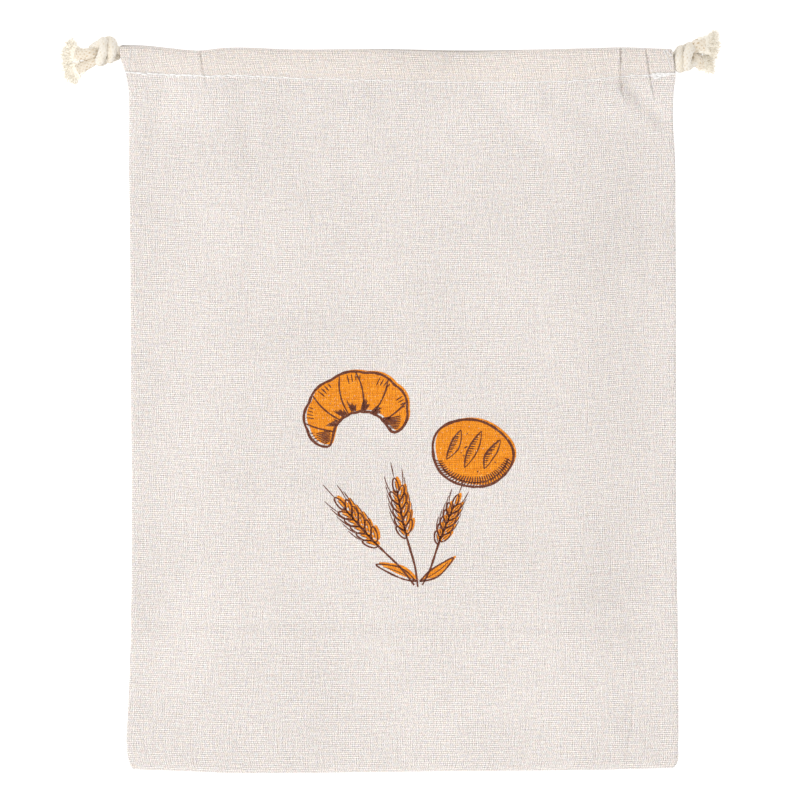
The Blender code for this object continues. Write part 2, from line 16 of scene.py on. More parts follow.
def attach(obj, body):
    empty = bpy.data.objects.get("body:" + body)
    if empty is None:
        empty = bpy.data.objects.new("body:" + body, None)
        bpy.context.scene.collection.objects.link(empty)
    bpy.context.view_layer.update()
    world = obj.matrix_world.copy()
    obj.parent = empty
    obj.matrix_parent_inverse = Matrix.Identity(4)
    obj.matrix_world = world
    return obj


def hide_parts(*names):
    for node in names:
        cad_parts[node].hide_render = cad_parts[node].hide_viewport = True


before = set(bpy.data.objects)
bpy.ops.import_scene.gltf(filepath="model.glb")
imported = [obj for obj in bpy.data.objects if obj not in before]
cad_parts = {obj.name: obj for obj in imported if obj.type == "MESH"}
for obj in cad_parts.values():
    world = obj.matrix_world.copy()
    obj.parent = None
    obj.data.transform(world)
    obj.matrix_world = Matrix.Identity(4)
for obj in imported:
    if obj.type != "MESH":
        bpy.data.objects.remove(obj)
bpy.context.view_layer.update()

MM = 0.001

# ---- shape shared with the solids ----
HALF_WIDTH = 151.0
SIDE_EDGES = np.array([   # y, left, right
    (-200, -149.5, 148), (-197, -150.9, 150.4), (-185, -152.9, 151.7), (-170, -152.3, 151.9),
    (-147, -151.3, 151.8), (-54, -150, 150.6), (25, -150.6, 150.6), (105, -151.1, 150.3),
    (143, -151.6, 149.9), (160, -151.4, 148.9), (178, -151.9, 149.4), (185, -152.9, 150.2),
    (190, -154.8, 149.6), (197, -156.4, 148.6), (202, -156.6, 148.1)])
END_EDGES = np.array([    # x, top, stitches, bottom
    (-153, 202, 186.6, -199.2), (-140, 201.8, 185.8, -199.7), (-125, 200.3, 185.2, -200.2),
    (-111, 199, 184.6, -200.8), (-95, 200.4, 184.8, -201.4), (-57, 199.6, 183.1, -201.3),
    (-13, 199.9, 182.1, -200.8), (40, 199.1, 181, -200.2), (103, 200.2, 182.5, -199.7),
    (128, 200.8, 184.9, -199.2), (143, 200.2, 185.6, -198.8), (151, 199.9, 185.7, -198.6)])
CAD_CLOTH = 1.1           # thickness of the cloth in the solids
GAP = 0.3
CORD_SQUEEZED = 1.7       # radius of a cord inside its casing
SEAM_TOP = 150.0          # the side seams stop here and leave a slit
MOUTH = 5.0               # how far the mouth stands open
MOUTH_AT_ENDS = 2.2
MOUTH_RAMP = 34.0
INSIDE = 10.4             # height of the air inside
PUFF_FOOT = 12.0          # the wall rises from here inwards
PUFF_RUN = 48.0
BOTTOM_RUN = 105.0
HEM_EDGE = 3.0            # a hem ends this far below its stitches
HEM_INSET = 7.4
GATHER_RISE = 0.8
CASING_SINK = 0.8         # a gather goes no deeper than this into the casing
UPPER_LANE = 4.3          # the cords' distances from the casing's top
LOWER_LANE = 7.9
TURN_INSET = 1.2
BACK_WALL = CAD_CLOTH / 2
SIDE_FRONT_WALL = BACK_WALL + 3 * (CAD_CLOTH + GAP)
LAYERS_PINCHED = CAD_CLOTH + GAP
LAYERS_OPEN = CAD_CLOTH + 2 * CORD_SQUEEZED + 2 * GAP
FRONT_HEM = BACK_WALL + LAYERS_OPEN + CAD_CLOTH + MOUTH
BOTTOM_RADIUS = (SIDE_FRONT_WALL - BACK_WALL) / 2

# ---- finer shape ----
SHEET = 0.75              # thickness of the visible cloth
PINCH = 6.0               # the casing swells from its stitches over this length
COLUMN_STEP = 2.6
FRONT_ROWS = 158
BACK_ROWS = 48
CASING_ROWS = (0.0, 0.12, 0.24, 0.36, 0.48, 0.62, 0.78, 1.0)
TURN_ROWS = np.linspace(0.0, 1.0, 11)[1:-1]
BOTTOM_ROWS = np.linspace(0.0, 1.0, 9)[1:-1]
ARC_STEPS = 6
FLAT_STEPS = 3
# Radius of the cloth's turn at its side edges, and width of the allowance turned in.
SEAM_ROLL, SEAM_ALLOWANCE = 0.85, 11.0
SLIT_ALLOWANCE = 4.0
SLIT_TOP = 182.0
CASING_ROLL, CASING_ALLOWANCE = 0.4, 2.2
HEM_ROLL, HEM_ALLOWANCE = 0.25, 0.9
# Creases where the casing is gathered: points of x, y and depth, then the ridges at left and right.
CREASES = (
    (((-113.4, 202, 0.4), (-113, 198.3, 0.9), (-112.2, 194.3, 1.2), (-111.4, 189.2, 1.2),
      (-110.4, 185.2, 1), (-109.4, 182, 0.4), (-108.4, 179, 0)), 0.5, 0.1),
    (((120, 203, 0.8), (120.2, 200, 1.4), (120.4, 190, 1.6), (120.6, 181, 1.4),
      (121.1, 176, 1), (123, 171.5, 0.5), (126.5, 166.5, 0)), 0.55, 0.05),
    (((134.3, 199.5, 0), (134.8, 196.5, 1.2), (135.8, 190, 1.6), (136.6, 184.5, 1.5),
      (138, 178.5, 1.1), (139.4, 173.5, 0.7), (140.8, 169, 0)), 0.55, 0.05),
    (((129.2, -148, 0), (128.8, -155, 0.28), (127.7, -166, 0.34), (126.3, -176, 0.38),
      (125.2, -186, 0.34), (124.3, -194, 0.2), (124, -199, 0.1)), 0.15, 0.2))
CREASE_WIDTH = 0.42
RIDGE_AWAY = 1.5
RIDGE_WIDTH = 1.2
CREASE_REACH = 14.0       # columns lean with a crease within this distance of it
CREASE_BEYOND = 24.0      # and this far past its ends, where the lean fades out
CREASE_FADE = 20.0
CREASE_COLUMNS = (0.0, 0.28, 0.56, 0.9, 1.35, 2.0, 3.2)
# Soft gathers: x and y at their top, x and y at their foot, width, depth.
GATHERS = np.array([
    (-145.8, 199, -145.2, 187, 2, 0.75),
    (-138.6, 191.5, -137.6, 185.5, 1.9, 0.85),
    (-131, 190.5, -128, 185.5, 2, 0.75),
    (-102.6, 200.5, -101.8, 194, 1.8, 0.85),
    (-52.4, 199, -51, 184, 1.8, 0.40),
    (-10.2, 197, -10.6, 184, 1.8, 0.30),
    (37.6, 196, 37.4, 188, 1.5, 0.45),
    (48.2, 192, 49.6, 183, 1.6, 0.40),
    (78, 197, 80, 184, 2, 0.30),
    (129.2, 201, 129.4, 195, 1.3, 0.55),
    (130, 194, 130.4, 186, 1.5, 0.30)])
# Soft folds: x and y at each end, half width, depth.
FOLDS = np.array([
    (-38, 184, -30, 122, 13, 0.8),
    (-91, 184, -85, 138, 9, 1.2),
    (38, 182, 86, 134, 11, 0.9),
    (77, 176, 110, 158, 9, 0.8),
    (120, 184, 146.5, 158, 7, 2.4),
    (-131, 182, -141, 142, 8, 1.2),
    (128.5, 104, 128, 66, 9, -0.7),
    (129, -158, 124, -197, 6, 0.7),
    (-150, -117.5, 150, -119.5, 7, 0.7),
    (-150, -124, 150, -126, 6, -0.4),
    (-150, 52, 150, 50, 9, 0.35)])
CRUMPLE = ((34.0, 0.40), (13.0, 0.15))   # size and height of the cloth's slight unevenness
BACK_PEEK = np.array([    # x, how far the back casing's top shows past the front's
    (-153, 0.9), (-146, 0.8), (-136, 0.4), (-125, 0.3), (-112, 0.2), (-60, 0.1), (-25, 0.4),
    (0, 0.9), (20, 1.1), (45, 1.2), (60, 0.7), (100, 0.3), (128, 0.2), (151, 0.2)])
PUCKER_LENGTH = 8.5       # spacing of the small puckers beside the casing's stitches
PUCKER_RUN = 30.0
PUCKER_HEIGHT = 0.28
PUCKER_REACH = 11.0
ABOVE = 60.0              # heights are looked for from here, over everything


def ease(t):
    t = np.clip(t, 0.0, 1.0)
    return t * t * (3.0 - 2.0 * t)


def smooth_read(table, column, value):
    """Value of a table's column on a smooth curve over its first column."""
    keys, heights = table[:, 0], table[:, column]
    slopes = np.gradient(heights, keys)
    value = np.clip(value, keys[0], keys[-1])
    at = np.clip(np.searchsorted(keys, value) - 1, 0, len(keys) - 2)
    run = keys[at + 1] - keys[at]
    t = (value - keys[at]) / run
    return ((1 + 2 * t) * (1 - t) ** 2 * heights[at] + t * (1 - t) ** 2 * run * slopes[at]
            + t * t * (3 - 2 * t) * heights[at + 1] + t * t * (t - 1) * run * slopes[at + 1])


def stitch_y(x):
    return smooth_read(END_EDGES, 2, x)


def bottom_y(x):
    return smooth_read(END_EDGES, 3, x)


def edge_x(y, side):
    return smooth_read(SIDE_EDGES, 1 if side < 0 else 2, y)


def across(share, y, inset=0.0):
    left = edge_x(y, -1) + inset
    return left + (edge_x(y, 1) - inset - left) * share


def nominal_x(share):
    return (share * 2 - 1) * HALF_WIDTH


def from_side(x, y):
    """Distance from the nearer side of the bag."""
    return np.minimum(x - edge_x(y, -1), edge_x(y, 1) - x)


def unit(vectors):
    return vectors / np.linalg.norm(vectors, axis=-1, keepdims=True)


def ring_faces(index):
    """Faces round a closed tube from the numbers of its points, one row for each ring."""
    beside = np.roll(index, -1, axis=1)
    quads = np.stack((index[:-1], beside[:-1], beside[1:], index[1:]), axis=2).reshape(-1, 4)
    return [*quads.tolist(), index[0, ::-1].tolist(), index[-1].tolist()]


def lengths_along(points):
    return np.concatenate(([0.0], np.cumsum(np.linalg.norm(np.diff(points, axis=0), axis=1))))


def field(function, x, y):
    """A noise value for each x and y."""
    x, y = np.broadcast_arrays(x, y)
    return np.array([function(a, b) for a, b in zip(x.ravel(), y.ravel())]).reshape(x.shape)


def crumple(x, y):
    return sum(height * noise.noise((x / size, y / size, 3.7 * index))
               for index, (size, height) in enumerate(CRUMPLE))


def pucker(x, y):
    return noise.noise((x / PUCKER_LENGTH, y / PUCKER_RUN, 9.1)) * PUCKER_HEIGHT


def crease_line(points, y):
    """Where a crease runs at each y, and its depth there."""
    table = np.array(points[::-1])
    return np.interp(y, table[:, 1], table[:, 0]), np.interp(y, table[:, 1], table[:, 2])


def lean(shares, y):
    """Moves the columns beside a crease so that one of them runs along it."""
    nominal = nominal_x(shares)
    left, right = edge_x(y, -1), edge_x(y, 1)
    moved = nominal.copy()
    for points, _, _ in CREASES:
        middle = points[len(points) // 2][0]
        line, _ = crease_line(points, y)
        line = nominal_x((line - left) / (right - left))
        near = ease(1.0 - np.abs(nominal - middle) / CREASE_REACH)
        fade = (ease((y - points[-1][1] + CREASE_BEYOND) / CREASE_FADE)
                * ease((points[0][1] + CREASE_BEYOND - y) / CREASE_FADE))
        moved += (line - middle) * near * fade
    return (moved / HALF_WIDTH + 1) / 2


def along_fold(fold, x, y):
    """Distance from a fold's line, and how far along it, as a share."""
    x0, y0, x1, y1 = fold[:4]
    dx, dy = x1 - x0, y1 - y0
    length = hypot(dx, dy)
    return ((x - x0) * dy - (y - y0) * dx) / length, ((x - x0) * dx + (y - y0) * dy) / length ** 2


def relief(x, y, stitch):
    """Small shape of the front wall and casing, added to their height."""
    height = field(crumple, x, y)
    height += field(pucker, x, y) * np.exp(-np.abs(y - stitch) / PUCKER_REACH)
    for fold in FOLDS:
        distance, share = along_fold(fold, x, y)
        fade = ease((share + 0.12) / 0.24) * ease((1.12 - share) / 0.24)
        height -= fold[5] * fade * (1.0 - ease(np.abs(distance) / fold[4])) * (y < stitch + 2.0)
    for gather in GATHERS:
        distance, share = along_fold(gather, x, y)
        distance = -distance / gather[4]
        fade = ease((share + 0.10) / 0.25) * ease((1.15 - share) / 0.40)
        height -= gather[5] * fade * 1.65 * distance * np.exp(-distance ** 2)
    held = 1.0 - 0.4 * np.exp(-((y - stitch) / 3.0) ** 2)
    for points, left_ridge, right_ridge in CREASES:
        line, depth = crease_line(points, y)
        away = x - line
        groove = 0.75 * held * np.exp(-(away / CREASE_WIDTH) ** 2)
        left = left_ridge * np.exp(-((away + RIDGE_AWAY) / RIDGE_WIDTH) ** 2)
        right = right_ridge * np.exp(-((away - RIDGE_AWAY) / RIDGE_WIDTH) ** 2)
        height += depth * (left + right - groove)
    return height


def front_hem_height(share):
    from_end = HALF_WIDTH - np.abs(nominal_x(share))
    return FRONT_HEM - (MOUTH - MOUTH_AT_ENDS) * (1.0 - ease((from_end - HEM_INSET) / MOUTH_RAMP))


def front_wall_height(x, y, share, stitch, bottom):
    puff = ease((from_side(x, y) - PUFF_FOOT) / PUFF_RUN) * ease((y - bottom - 4.0) / BOTTOM_RUN)
    height = SIDE_FRONT_WALL + (INSIDE + CAD_CLOTH - SIDE_FRONT_WALL + BACK_WALL) * puff
    at_stitch = front_hem_height(share) + LAYERS_PINCHED
    return height + (at_stitch - height) * ease((y - SEAM_TOP) / (stitch - SEAM_TOP))


def wall_foot(bottom):
    """Where a wall goes over into the turn at the bottom."""
    return bottom + CAD_CLOTH / 2 + BOTTOM_RADIUS


# ---- cloth ----
def column_shares():
    """The columns as shares of the width, close together beside the creases."""
    marks = np.linspace(-HALF_WIDTH, HALF_WIDTH, round(2 * HALF_WIDTH / COLUMN_STEP) + 1)
    for points, _, _ in CREASES:
        middle = points[len(points) // 2][0]
        fine = [middle + side * away for away in CREASE_COLUMNS for side in (-1, 1)]
        marks = marks[np.abs(marks - middle) > CREASE_COLUMNS[-1] + 1.0]
        marks = np.concatenate((marks, fine))
    return (np.unique(marks) + HALF_WIDTH) / (2 * HALF_WIDTH)


def wall_edge(y):
    """Roll radius and allowance width at a wall's sides: a slit near the mouth, a seam below it."""
    closed = ease((SEAM_TOP + 10.0 - y) / 12.0)
    slit = ease((SLIT_TOP - y) / 10.0)
    return (CASING_ROLL + (SEAM_ROLL - CASING_ROLL) * slit,
            CASING_ALLOWANCE + (SLIT_ALLOWANCE - CASING_ALLOWANCE) * slit
            + (SEAM_ALLOWANCE - SLIT_ALLOWANCE) * closed)


def hem_edge(mix):
    """The same from a hem, at 0, to its casing, at 1."""
    return (HEM_ROLL + (CASING_ROLL - HEM_ROLL) * mix,
            HEM_ALLOWANCE + (CASING_ALLOWANCE - HEM_ALLOWANCE) * mix)


def cloth_rows(shares):
    """Each row across the cloth: its kind, y and z of its columns, inset, roll and allowance."""
    nominal = nominal_x(shares)
    top, stitch, bottom = smooth_read(END_EDGES, 1, nominal), stitch_y(nominal), bottom_y(nominal)
    peek = smooth_read(BACK_PEEK, 1, nominal)
    foot = wall_foot(bottom)
    hem_z = front_hem_height(shares)
    radius = LAYERS_OPEN / 2
    back_top = top - CAD_CLOTH / 2 - radius
    front_top = back_top - peek
    level = np.ones_like(top)
    rows = []

    def add(kind, y, z, inset, edge):
        rows.append((kind, y, z, inset, *edge))

    def apart(y):
        return LAYERS_PINCHED + (LAYERS_OPEN - LAYERS_PINCHED) * ease((y - stitch) / PINCH)

    # back hem, turn and casing
    add("back_hem", stitch - HEM_EDGE, level * (BACK_WALL + LAYERS_PINCHED), HEM_INSET, hem_edge(0.0))
    for t in CASING_ROWS:
        y = stitch + (back_top - stitch) * t
        add("back_hem", y, BACK_WALL + apart(y), HEM_INSET, hem_edge(0.0))
    for t in TURN_ROWS:
        swing = pi * (t - 0.5)
        z = level * (BACK_WALL + radius * (1.0 - sin(swing)))
        inset = HEM_INSET * ease((0.6 - t) / 0.45)
        add("back_turn", back_top + radius * cos(swing), z, inset, hem_edge(ease(t)))
    for t in CASING_ROWS[::-1]:
        add("back_casing", stitch + (back_top - stitch) * t, level * BACK_WALL, 0.0, hem_edge(1.0))
    # back wall, bottom turn, front wall
    for t in np.linspace(1.0, 0.0, BACK_ROWS + 1)[1:]:
        y = foot + (stitch - foot) * t
        add("back_wall", y, level * BACK_WALL, 0.0, wall_edge(np.mean(y)))
    for t in BOTTOM_ROWS:
        add("bottom", foot - BOTTOM_RADIUS * sin(pi * t),
            level * (BACK_WALL + BOTTOM_RADIUS * (1.0 - cos(pi * t))), 0.0, wall_edge(np.mean(foot)))
    for t in np.linspace(0.0, 1.0, FRONT_ROWS + 1):
        y = foot + (stitch - foot) * t
        x = across(lean(shares, y), y)
        settle = ease((y - foot) / 6.0) * ease(from_side(x, y) / 9.0 + ease((y - SEAM_TOP) / 10.0))
        z = front_wall_height(x, y, shares, stitch, bottom) + relief(x, y, stitch) * settle
        add("front_wall", y, z, 0.0, wall_edge(np.mean(y)))
    # front casing, turn and hem
    for t in CASING_ROWS[1:]:
        y = stitch + (front_top - stitch) * t
        x = across(lean(shares, y), y)
        low = hem_z + apart(y)
        z = low + GATHER_RISE * ease((y - stitch) / PINCH) + relief(x, y, stitch)
        z = np.maximum(z, low - CASING_SINK)
        add("front_casing", y, z, 0.0, hem_edge(1.0))
    for t in TURN_ROWS:
        swing = pi * (t - 0.5)
        down = hem_z + (z - hem_z) * (1.0 - sin(swing)) / 2
        inset = HEM_INSET * ease((t - 0.4) / 0.45)
        add("front_turn", front_top + radius * cos(swing), down, inset, hem_edge(1.0 - ease(t)))
    for t in CASING_ROWS[::-1]:
        add("front_hem", stitch + (front_top - stitch) * t, hem_z, HEM_INSET, hem_edge(0.0))
    y = stitch - HEM_EDGE
    wall = front_wall_height(across(shares, y, HEM_INSET), y, shares, stitch, bottom)
    add("front_hem", y, wall - LAYERS_PINCHED, HEM_INSET, hem_edge(0.0))
    return rows


def cloth_grid():
    """Middle of the cloth as a grid of points, with its flat coordinates across and along it."""
    shares = column_shares()
    rows = cloth_rows(shares)
    main, u_main = [], []
    for kind, y, z, inset, roll, _ in rows:
        own = lean(shares, y) if kind.startswith("front") else shares
        main.append(np.stack((across(own, y, inset + roll), y, z), axis=1))
        u_main.append(own * 2 * HALF_WIDTH)
    main, u_main = np.array(main), np.array(u_main)
    # At each side the cloth rolls over and its allowance lies inside.
    roll, width = (np.array([row[column] for row in rows])[:, None] for column in (4, 5))
    laid = (width - roll) * (1.0 - np.arange(FLAT_STEPS) / FLAT_STEPS)
    turned = pi * (1.0 - np.arange(ARC_STEPS) / ARC_STEPS)
    inwards = np.concatenate((laid, -roll * np.sin(turned)), axis=1)
    under = np.concatenate((np.repeat(2 * roll, FLAT_STEPS, axis=1), roll - roll * np.cos(turned)), axis=1)
    beyond = np.concatenate((pi * roll + laid, roll * turned), axis=1)
    strips = []
    for side, column in ((-1, 0), (1, -1)):
        edge = main[:, column]
        run = unit(np.gradient(edge[:, 1:], axis=0))
        inner = np.stack((run[:, 1], -run[:, 0]), axis=1)
        strips.append(np.concatenate(((edge[:, :1] - side * inwards)[:, :, None],
                                      edge[:, None, 1:] + inner[:, None] * under[:, :, None]), axis=2))
    grid = np.concatenate((strips[0], main, strips[1][:, ::-1]), axis=1)
    u = np.concatenate((-beyond, u_main, 2 * HALF_WIDTH + beyond[:, ::-1]), axis=1)
    return [row[0] for row in rows], grid, u, lengths_along(main[:, main.shape[1] // 2])


def link(name, data):
    """Puts a new object with this data into the scene."""
    holder = bpy.data.objects.new(name, data)
    bpy.context.scene.collection.objects.link(holder)
    return holder


def make_object(name, points, faces, uv=None, attributes=None, sharp=None):
    """Mesh object from points in millimetres, smooth up to the angle named by sharp."""
    mesh = bpy.data.meshes.new(name)
    mesh.from_pydata((np.asarray(points) * MM).tolist(), [], [list(face) for face in faces])
    if uv is not None:
        layer = mesh.uv_layers.new(name="flat")
        index = np.zeros(len(mesh.loops), np.int32)
        mesh.loops.foreach_get("vertex_index", index)
        layer.data.foreach_set("uv", (np.asarray(uv) * MM)[index].ravel().astype(np.float32))
    for label, values in (attributes or {}).items():
        made = mesh.attributes.new(label, "FLOAT", "POINT")
        made.data.foreach_set("value", np.asarray(values, np.float32))
    if sharp:
        mesh.shade_smooth()
        mesh.set_sharp_from_angle(angle=radians(sharp))
    mesh.validate()
    mesh.update()
    return link(name, mesh)


def build_cloth():
    """The cloth, a tree of its outer face for finding heights, the front wall's run and the length."""
    kinds, grid, u, v = cloth_grid()
    normal = np.cross(np.gradient(grid, axis=1), np.gradient(grid, axis=0))
    normal /= np.maximum(np.linalg.norm(normal, axis=2), 1e-9)[:, :, None]
    outer = (grid + normal * SHEET / 2).reshape(-1, 3)
    inner = (grid - normal * SHEET / 2).reshape(-1, 3)
    columns = grid.shape[1]
    shift = len(outer)
    index = np.arange(shift).reshape(-1, columns)
    outer_faces = np.stack((index[:-1, :-1], index[:-1, 1:], index[1:, 1:], index[1:, :-1]), axis=2)
    outer_faces = outer_faces.reshape(-1, 4)
    ring = np.concatenate((index[0], index[1:, -1], index[-1, -2::-1], index[-2:0:-1, 0]))
    after = np.roll(ring, -1)
    rim = np.stack((after, ring, ring + shift, after + shift), axis=1)
    doubled = [kind not in ("back_wall", "bottom", "front_wall") for kind in kinds]
    # painted shade on the back casing's top turn, where it shows past the front casing's edge
    turned = np.array([kind == "back_turn" for kind in kinds])[:, None]
    shaded = turned * ease((smooth_read(BACK_PEEK, 1, grid[:, :, 0]) - 0.3) / 0.4)
    cloth = make_object("linen_cloth", np.concatenate((outer, inner)),
                        np.concatenate((outer_faces, outer_faces[:, ::-1] + shift, rim)), sharp=50.0,
                        uv=np.tile(np.stack((u.ravel(), np.repeat(v, columns)), axis=1), (2, 1)),
                        attributes={"doubled": np.tile(np.repeat(doubled, columns), 2),
                                    "shaded": np.tile(shaded.ravel(), 2)})
    tree = BVHTree.FromPolygons(outer.tolist(), outer_faces.tolist())
    front = [at for at, kind in zip(v, kinds) if kind == "front_wall"]
    return cloth, tree, (front[0], front[-1]), float(v[-1])


def height_at(tree, x, y):
    """Height of the cloth's face under a point."""
    hit = tree.ray_cast(Vector((x, y, ABOVE)), Vector((0.0, 0.0, -1.0)))
    return hit[0].z if hit[0] else SIDE_FRONT_WALL


# ---- tubes ----
ON_FLOOR = 0.02           # a soft piece flattens where it would go lower


def smooth_route(points, step):
    """Evenly spaced points on a smooth curve through the route's points (x, y, z, radius)."""
    points = [np.array(point, dtype=float) for point in points]
    padded = [2 * points[0] - points[1], *points, 2 * points[-1] - points[-2]]
    samples = []
    for a, b, c, d in zip(padded, padded[1:], padded[2:], padded[3:]):
        count = max(1, round(float(np.linalg.norm((c - b)[:3])) / step))
        for n in range(count):
            t = n / count
            samples.append(0.5 * (2 * b + (c - a) * t + (2 * a - 5 * b + 4 * c - d) * t ** 2
                                  + (3 * b - a - 3 * c + d) * t ** 3))
    return np.array([*samples, points[-1]])


def frames_along(centres):
    """Tangents and two turning axes along a route, without twist."""
    tangents = unit(np.gradient(centres, axis=0))
    axis = np.cross(tangents[0], (0.0, 0.0, 1.0))
    if np.linalg.norm(axis) < 1e-3:
        axis = np.array((1.0, 0.0, 0.0))
    first = []
    for tangent in tangents:
        axis = unit(axis - tangent * np.dot(axis, tangent))
        first.append(axis)
    first = np.array(first)
    return tangents, first, np.cross(tangents, first)


class TubeSet:
    """Collects closed tubes into one mesh."""

    def __init__(self):
        self.points, self.faces, self.flat, self.values = [], [], [], []
        self.count = 0

    def add(self, route, sides, shape=None, value=None, from_end=False):
        """One tube; shape gives its crowns and swelling, and from_end measures from its far end."""
        centres, radii = route[:, :3], route[:, 3]
        _, first, second = frames_along(centres)
        angles = 2 * pi * np.arange(sides) / sides
        along = lengths_along(centres)
        ring = np.repeat(radii[:, None], sides, axis=1)
        crown = np.ones_like(ring) if value is None else np.full_like(ring, value)
        if shape is not None:
            crown, swell = shape(along[:, None], angles[None, :])
            ring = ring * swell
        outward = (np.cos(angles)[None, :, None] * first[:, None, :]
                   + np.sin(angles)[None, :, None] * second[:, None, :])
        body = centres[:, None, :] + ring[:, :, None] * outward
        body[..., 2] = np.maximum(body[..., 2], ON_FLOOR)
        if from_end:
            along = along[-1] - along
        self.points.append(body.reshape(-1, 3))
        self.flat.append(np.stack((np.repeat(along, sides), np.tile(angles, len(route))), axis=1))
        self.values.append(crown.ravel())
        index = self.count + np.arange(ring.size).reshape(ring.shape)
        self.faces += ring_faces(index)
        self.count += ring.size

    def build(self, name, label="crown"):
        return make_object(name, np.concatenate(self.points), self.faces, uv=np.concatenate(self.flat),
                           attributes={label: np.concatenate(self.values)}, sharp=70.0)


# ---- drawcords ----
# Routes through a knot: outward from the casing's end, towards the mouth, up, radius.
KNOT_FRONT = (
    (0.9, 0.8, 10.4, 1.9), (2.3, 1.5, 10.8, 2.5), (6, 2, 6.9, 2.4), (11.9, 1.2, 5.1, 2.4),
    (15.2, 1.2, 4.7, 2.4), (15, 2.6, 5.7, 2.4), (12.2, 4.1, 7.5, 2.4), (9.3, 5.8, 10.1, 2.5),
    (9.4, 1, 12, 2.7), (10.9, -3.4, 10.1, 2.7), (11.9, -5.3, 6.1, 2.5), (9.9, -5, 3.3, 2.4),
    (7.9, -1.5, 2.7, 2.4), (9.9, 1.4, 3.1, 2.4), (13.2, 0.4, 6.3, 2.5))
KNOT_BACK = (
    (0.9, -0.6, 3.5, 1.9), (2.5, -2.1, 5.9, 2.5), (6, -2.8, 6.1, 2.4), (11.4, -2.4, 4.5, 2.4),
    (15, -1.2, 2.7, 2.4), (14.8, 1.4, 2.7, 2.4), (11.7, 3.8, 3.3, 2.4), (6.9, 6.4, 5.7, 2.4),
    (4.8, 5.4, 9.9, 2.6), (4.5, 1.4, 12.4, 2.7), (4.8, -1.6, 10.4, 2.6), (5.6, -3.6, 6.1, 2.4),
    (6.9, -3.5, 2.7, 2.4), (9.9, -0.9, 2.6, 2.4), (12.9, -3, 4.7, 2.5))
KNOT_SETTLE = 6.0         # a knot's own shift is complete this far from the casing
LEFT_UPPER_TAIL = (
    (16.2, -0.4, 7.4, 3), (20.2, -1, 5.6, 3.2), (23.4, -0.8, 3.9, 3.2), (25.2, -0.4, 3.5, 3.1))
LEFT_LOWER_TAIL = (
    (14.8, -4.6, 5.9, 2.6), (18.4, -6.6, 4.9, 2.8), (21.8, -8.4, 3.7, 3), (24, -9.5, 3.3, 3))
RIGHT_UPPER_TAIL = ((11.8, 7.9, 6.6, 3.1), (13.4, 9.7, 7, 3.5), (17.2, 9.9, 6, 3.7))
RIGHT_LOWER_TAIL = (
    (13.4, 1.3, 5.6, 2.8), (14.2, -0.2, 4.6, 3), (15.5, -0.7, 3.9, 3.1), (16.9, -0.5, 3.7, 3.1))
DRAWCORDS = (  # name, side, seed, lane, mirror, outward and upward shift of the knot, its two ends
    # An end: its tail, then the locks of its fray, their length, their radius and spread in degrees.
    ("left", -1, 41, UPPER_LANE, 1.0, 0.0, 0.2,
     (LEFT_UPPER_TAIL, 12, 6.8, 0.95, 88.0), (LEFT_LOWER_TAIL, 12, 7.4, 0.95, 74.0)),
    ("right", 1, 43, LOWER_LANE, -1.0, -1.9, 3.7,
     (RIGHT_LOWER_TAIL, 13, 5.0, 1.05, 44.0), (RIGHT_UPPER_TAIL, 17, 8.2, 1.15, 62.0)))
CORD_SIDES = 40
CORD_STEP = 0.42
RUN_SIDES = 12
RUN_STEP = 4.0
RUN_STATIONS = 17
RUN_TURN = 8              # steps of the half turn between the casings
BRAID_STRANDS = 7
BRAID_ANGLE = 0.36        # turn of a strand in radians per millimetre
BRAID_DEPTH = 0.05
FUZZ_FIBRES = 520
LOCK_SIDES = 12
LOCK_WAVE = 0.42          # crimp left by the braid
LOCK_WAVELENGTH = 3.4
LOCK_STEP = 0.45
LOCK_FIBRES = 34
LOCK_SCATTER = 0.45
SHADED_SPECKED_END = 11.0          # the braid is loose and shows its seed specks this far from its end, and its colour is darker there as painted shade
ROOT_BACK = 3.4           # the locks start this far inside the cord's end


def lane_point(lane, casing, x_nominal):
    """A cord's middle inside a casing."""
    share = (x_nominal / HALF_WIDTH + 1) / 2
    y = float(np.interp(x_nominal, END_EDGES[:, 0], END_EDGES[:, 1])) - lane
    base = float(front_hem_height(share)) if casing == "front" else BACK_WALL
    return float(across(share, y)), y, base + CAD_CLOTH / 2 + GAP + CORD_SQUEEZED, CORD_SQUEEZED


def knot_route(side, lane, mirror, outward, upward, knot, tail):
    end = lane_point(lane, "back", side * HALF_WIDTH)
    route = []
    for out, shift, up, radius in knot:
        share = min(out / KNOT_SETTLE, 1.0)
        route.append((out + outward * share, shift * mirror + upward * share, up, radius))
    return [(end[0] + side * out, end[1] + shift, up, radius) for out, shift, up, radius in (*route, *tail)]


def casing_run(side, lane):
    """A cord's way through the front casing, round its far end and back through the back casing."""
    stations = [*np.linspace(HALF_WIDTH, -HALF_WIDTH, RUN_STATIONS)[:-1], -HALF_WIDTH + 10.0]
    front = [lane_point(lane, "front", side * s) for s in stations]
    back = [lane_point(lane, "back", side * s) for s in reversed(stations)]
    start, end = np.array(front[-1]), np.array(back[0])
    radius = (start[2] - end[2]) / 2
    middle = (start + end) / 2
    turn_x = abs(float(edge_x(middle[1], -side))) - TURN_INSET - CORD_SQUEEZED - radius
    turn = []
    for step in range(RUN_TURN + 1):
        angle = pi * step / RUN_TURN
        turn.append((-side * (turn_x + radius * sin(angle)), middle[1],
                     middle[2] + radius * cos(angle), CORD_SQUEEZED))
    return front + turn + back


def braid(along, angle):
    """Height of a braid's crowns, 0 to 1, and the swelling that they give the cord."""
    one = np.cos(BRAID_STRANDS * (angle + BRAID_ANGLE * along))
    two = np.cos(BRAID_STRANDS * (angle - BRAID_ANGLE * along))
    crown = 0.5 + 0.28 * (one + two) - 0.22 * one * two
    lumps = 0.03 * np.sin(along * 1.3 + 2 * angle) + 0.02 * np.sin(along * 2.9 - 3 * angle)
    return crown, 1.0 - BRAID_DEPTH + BRAID_DEPTH * 1.6 * crown + lumps


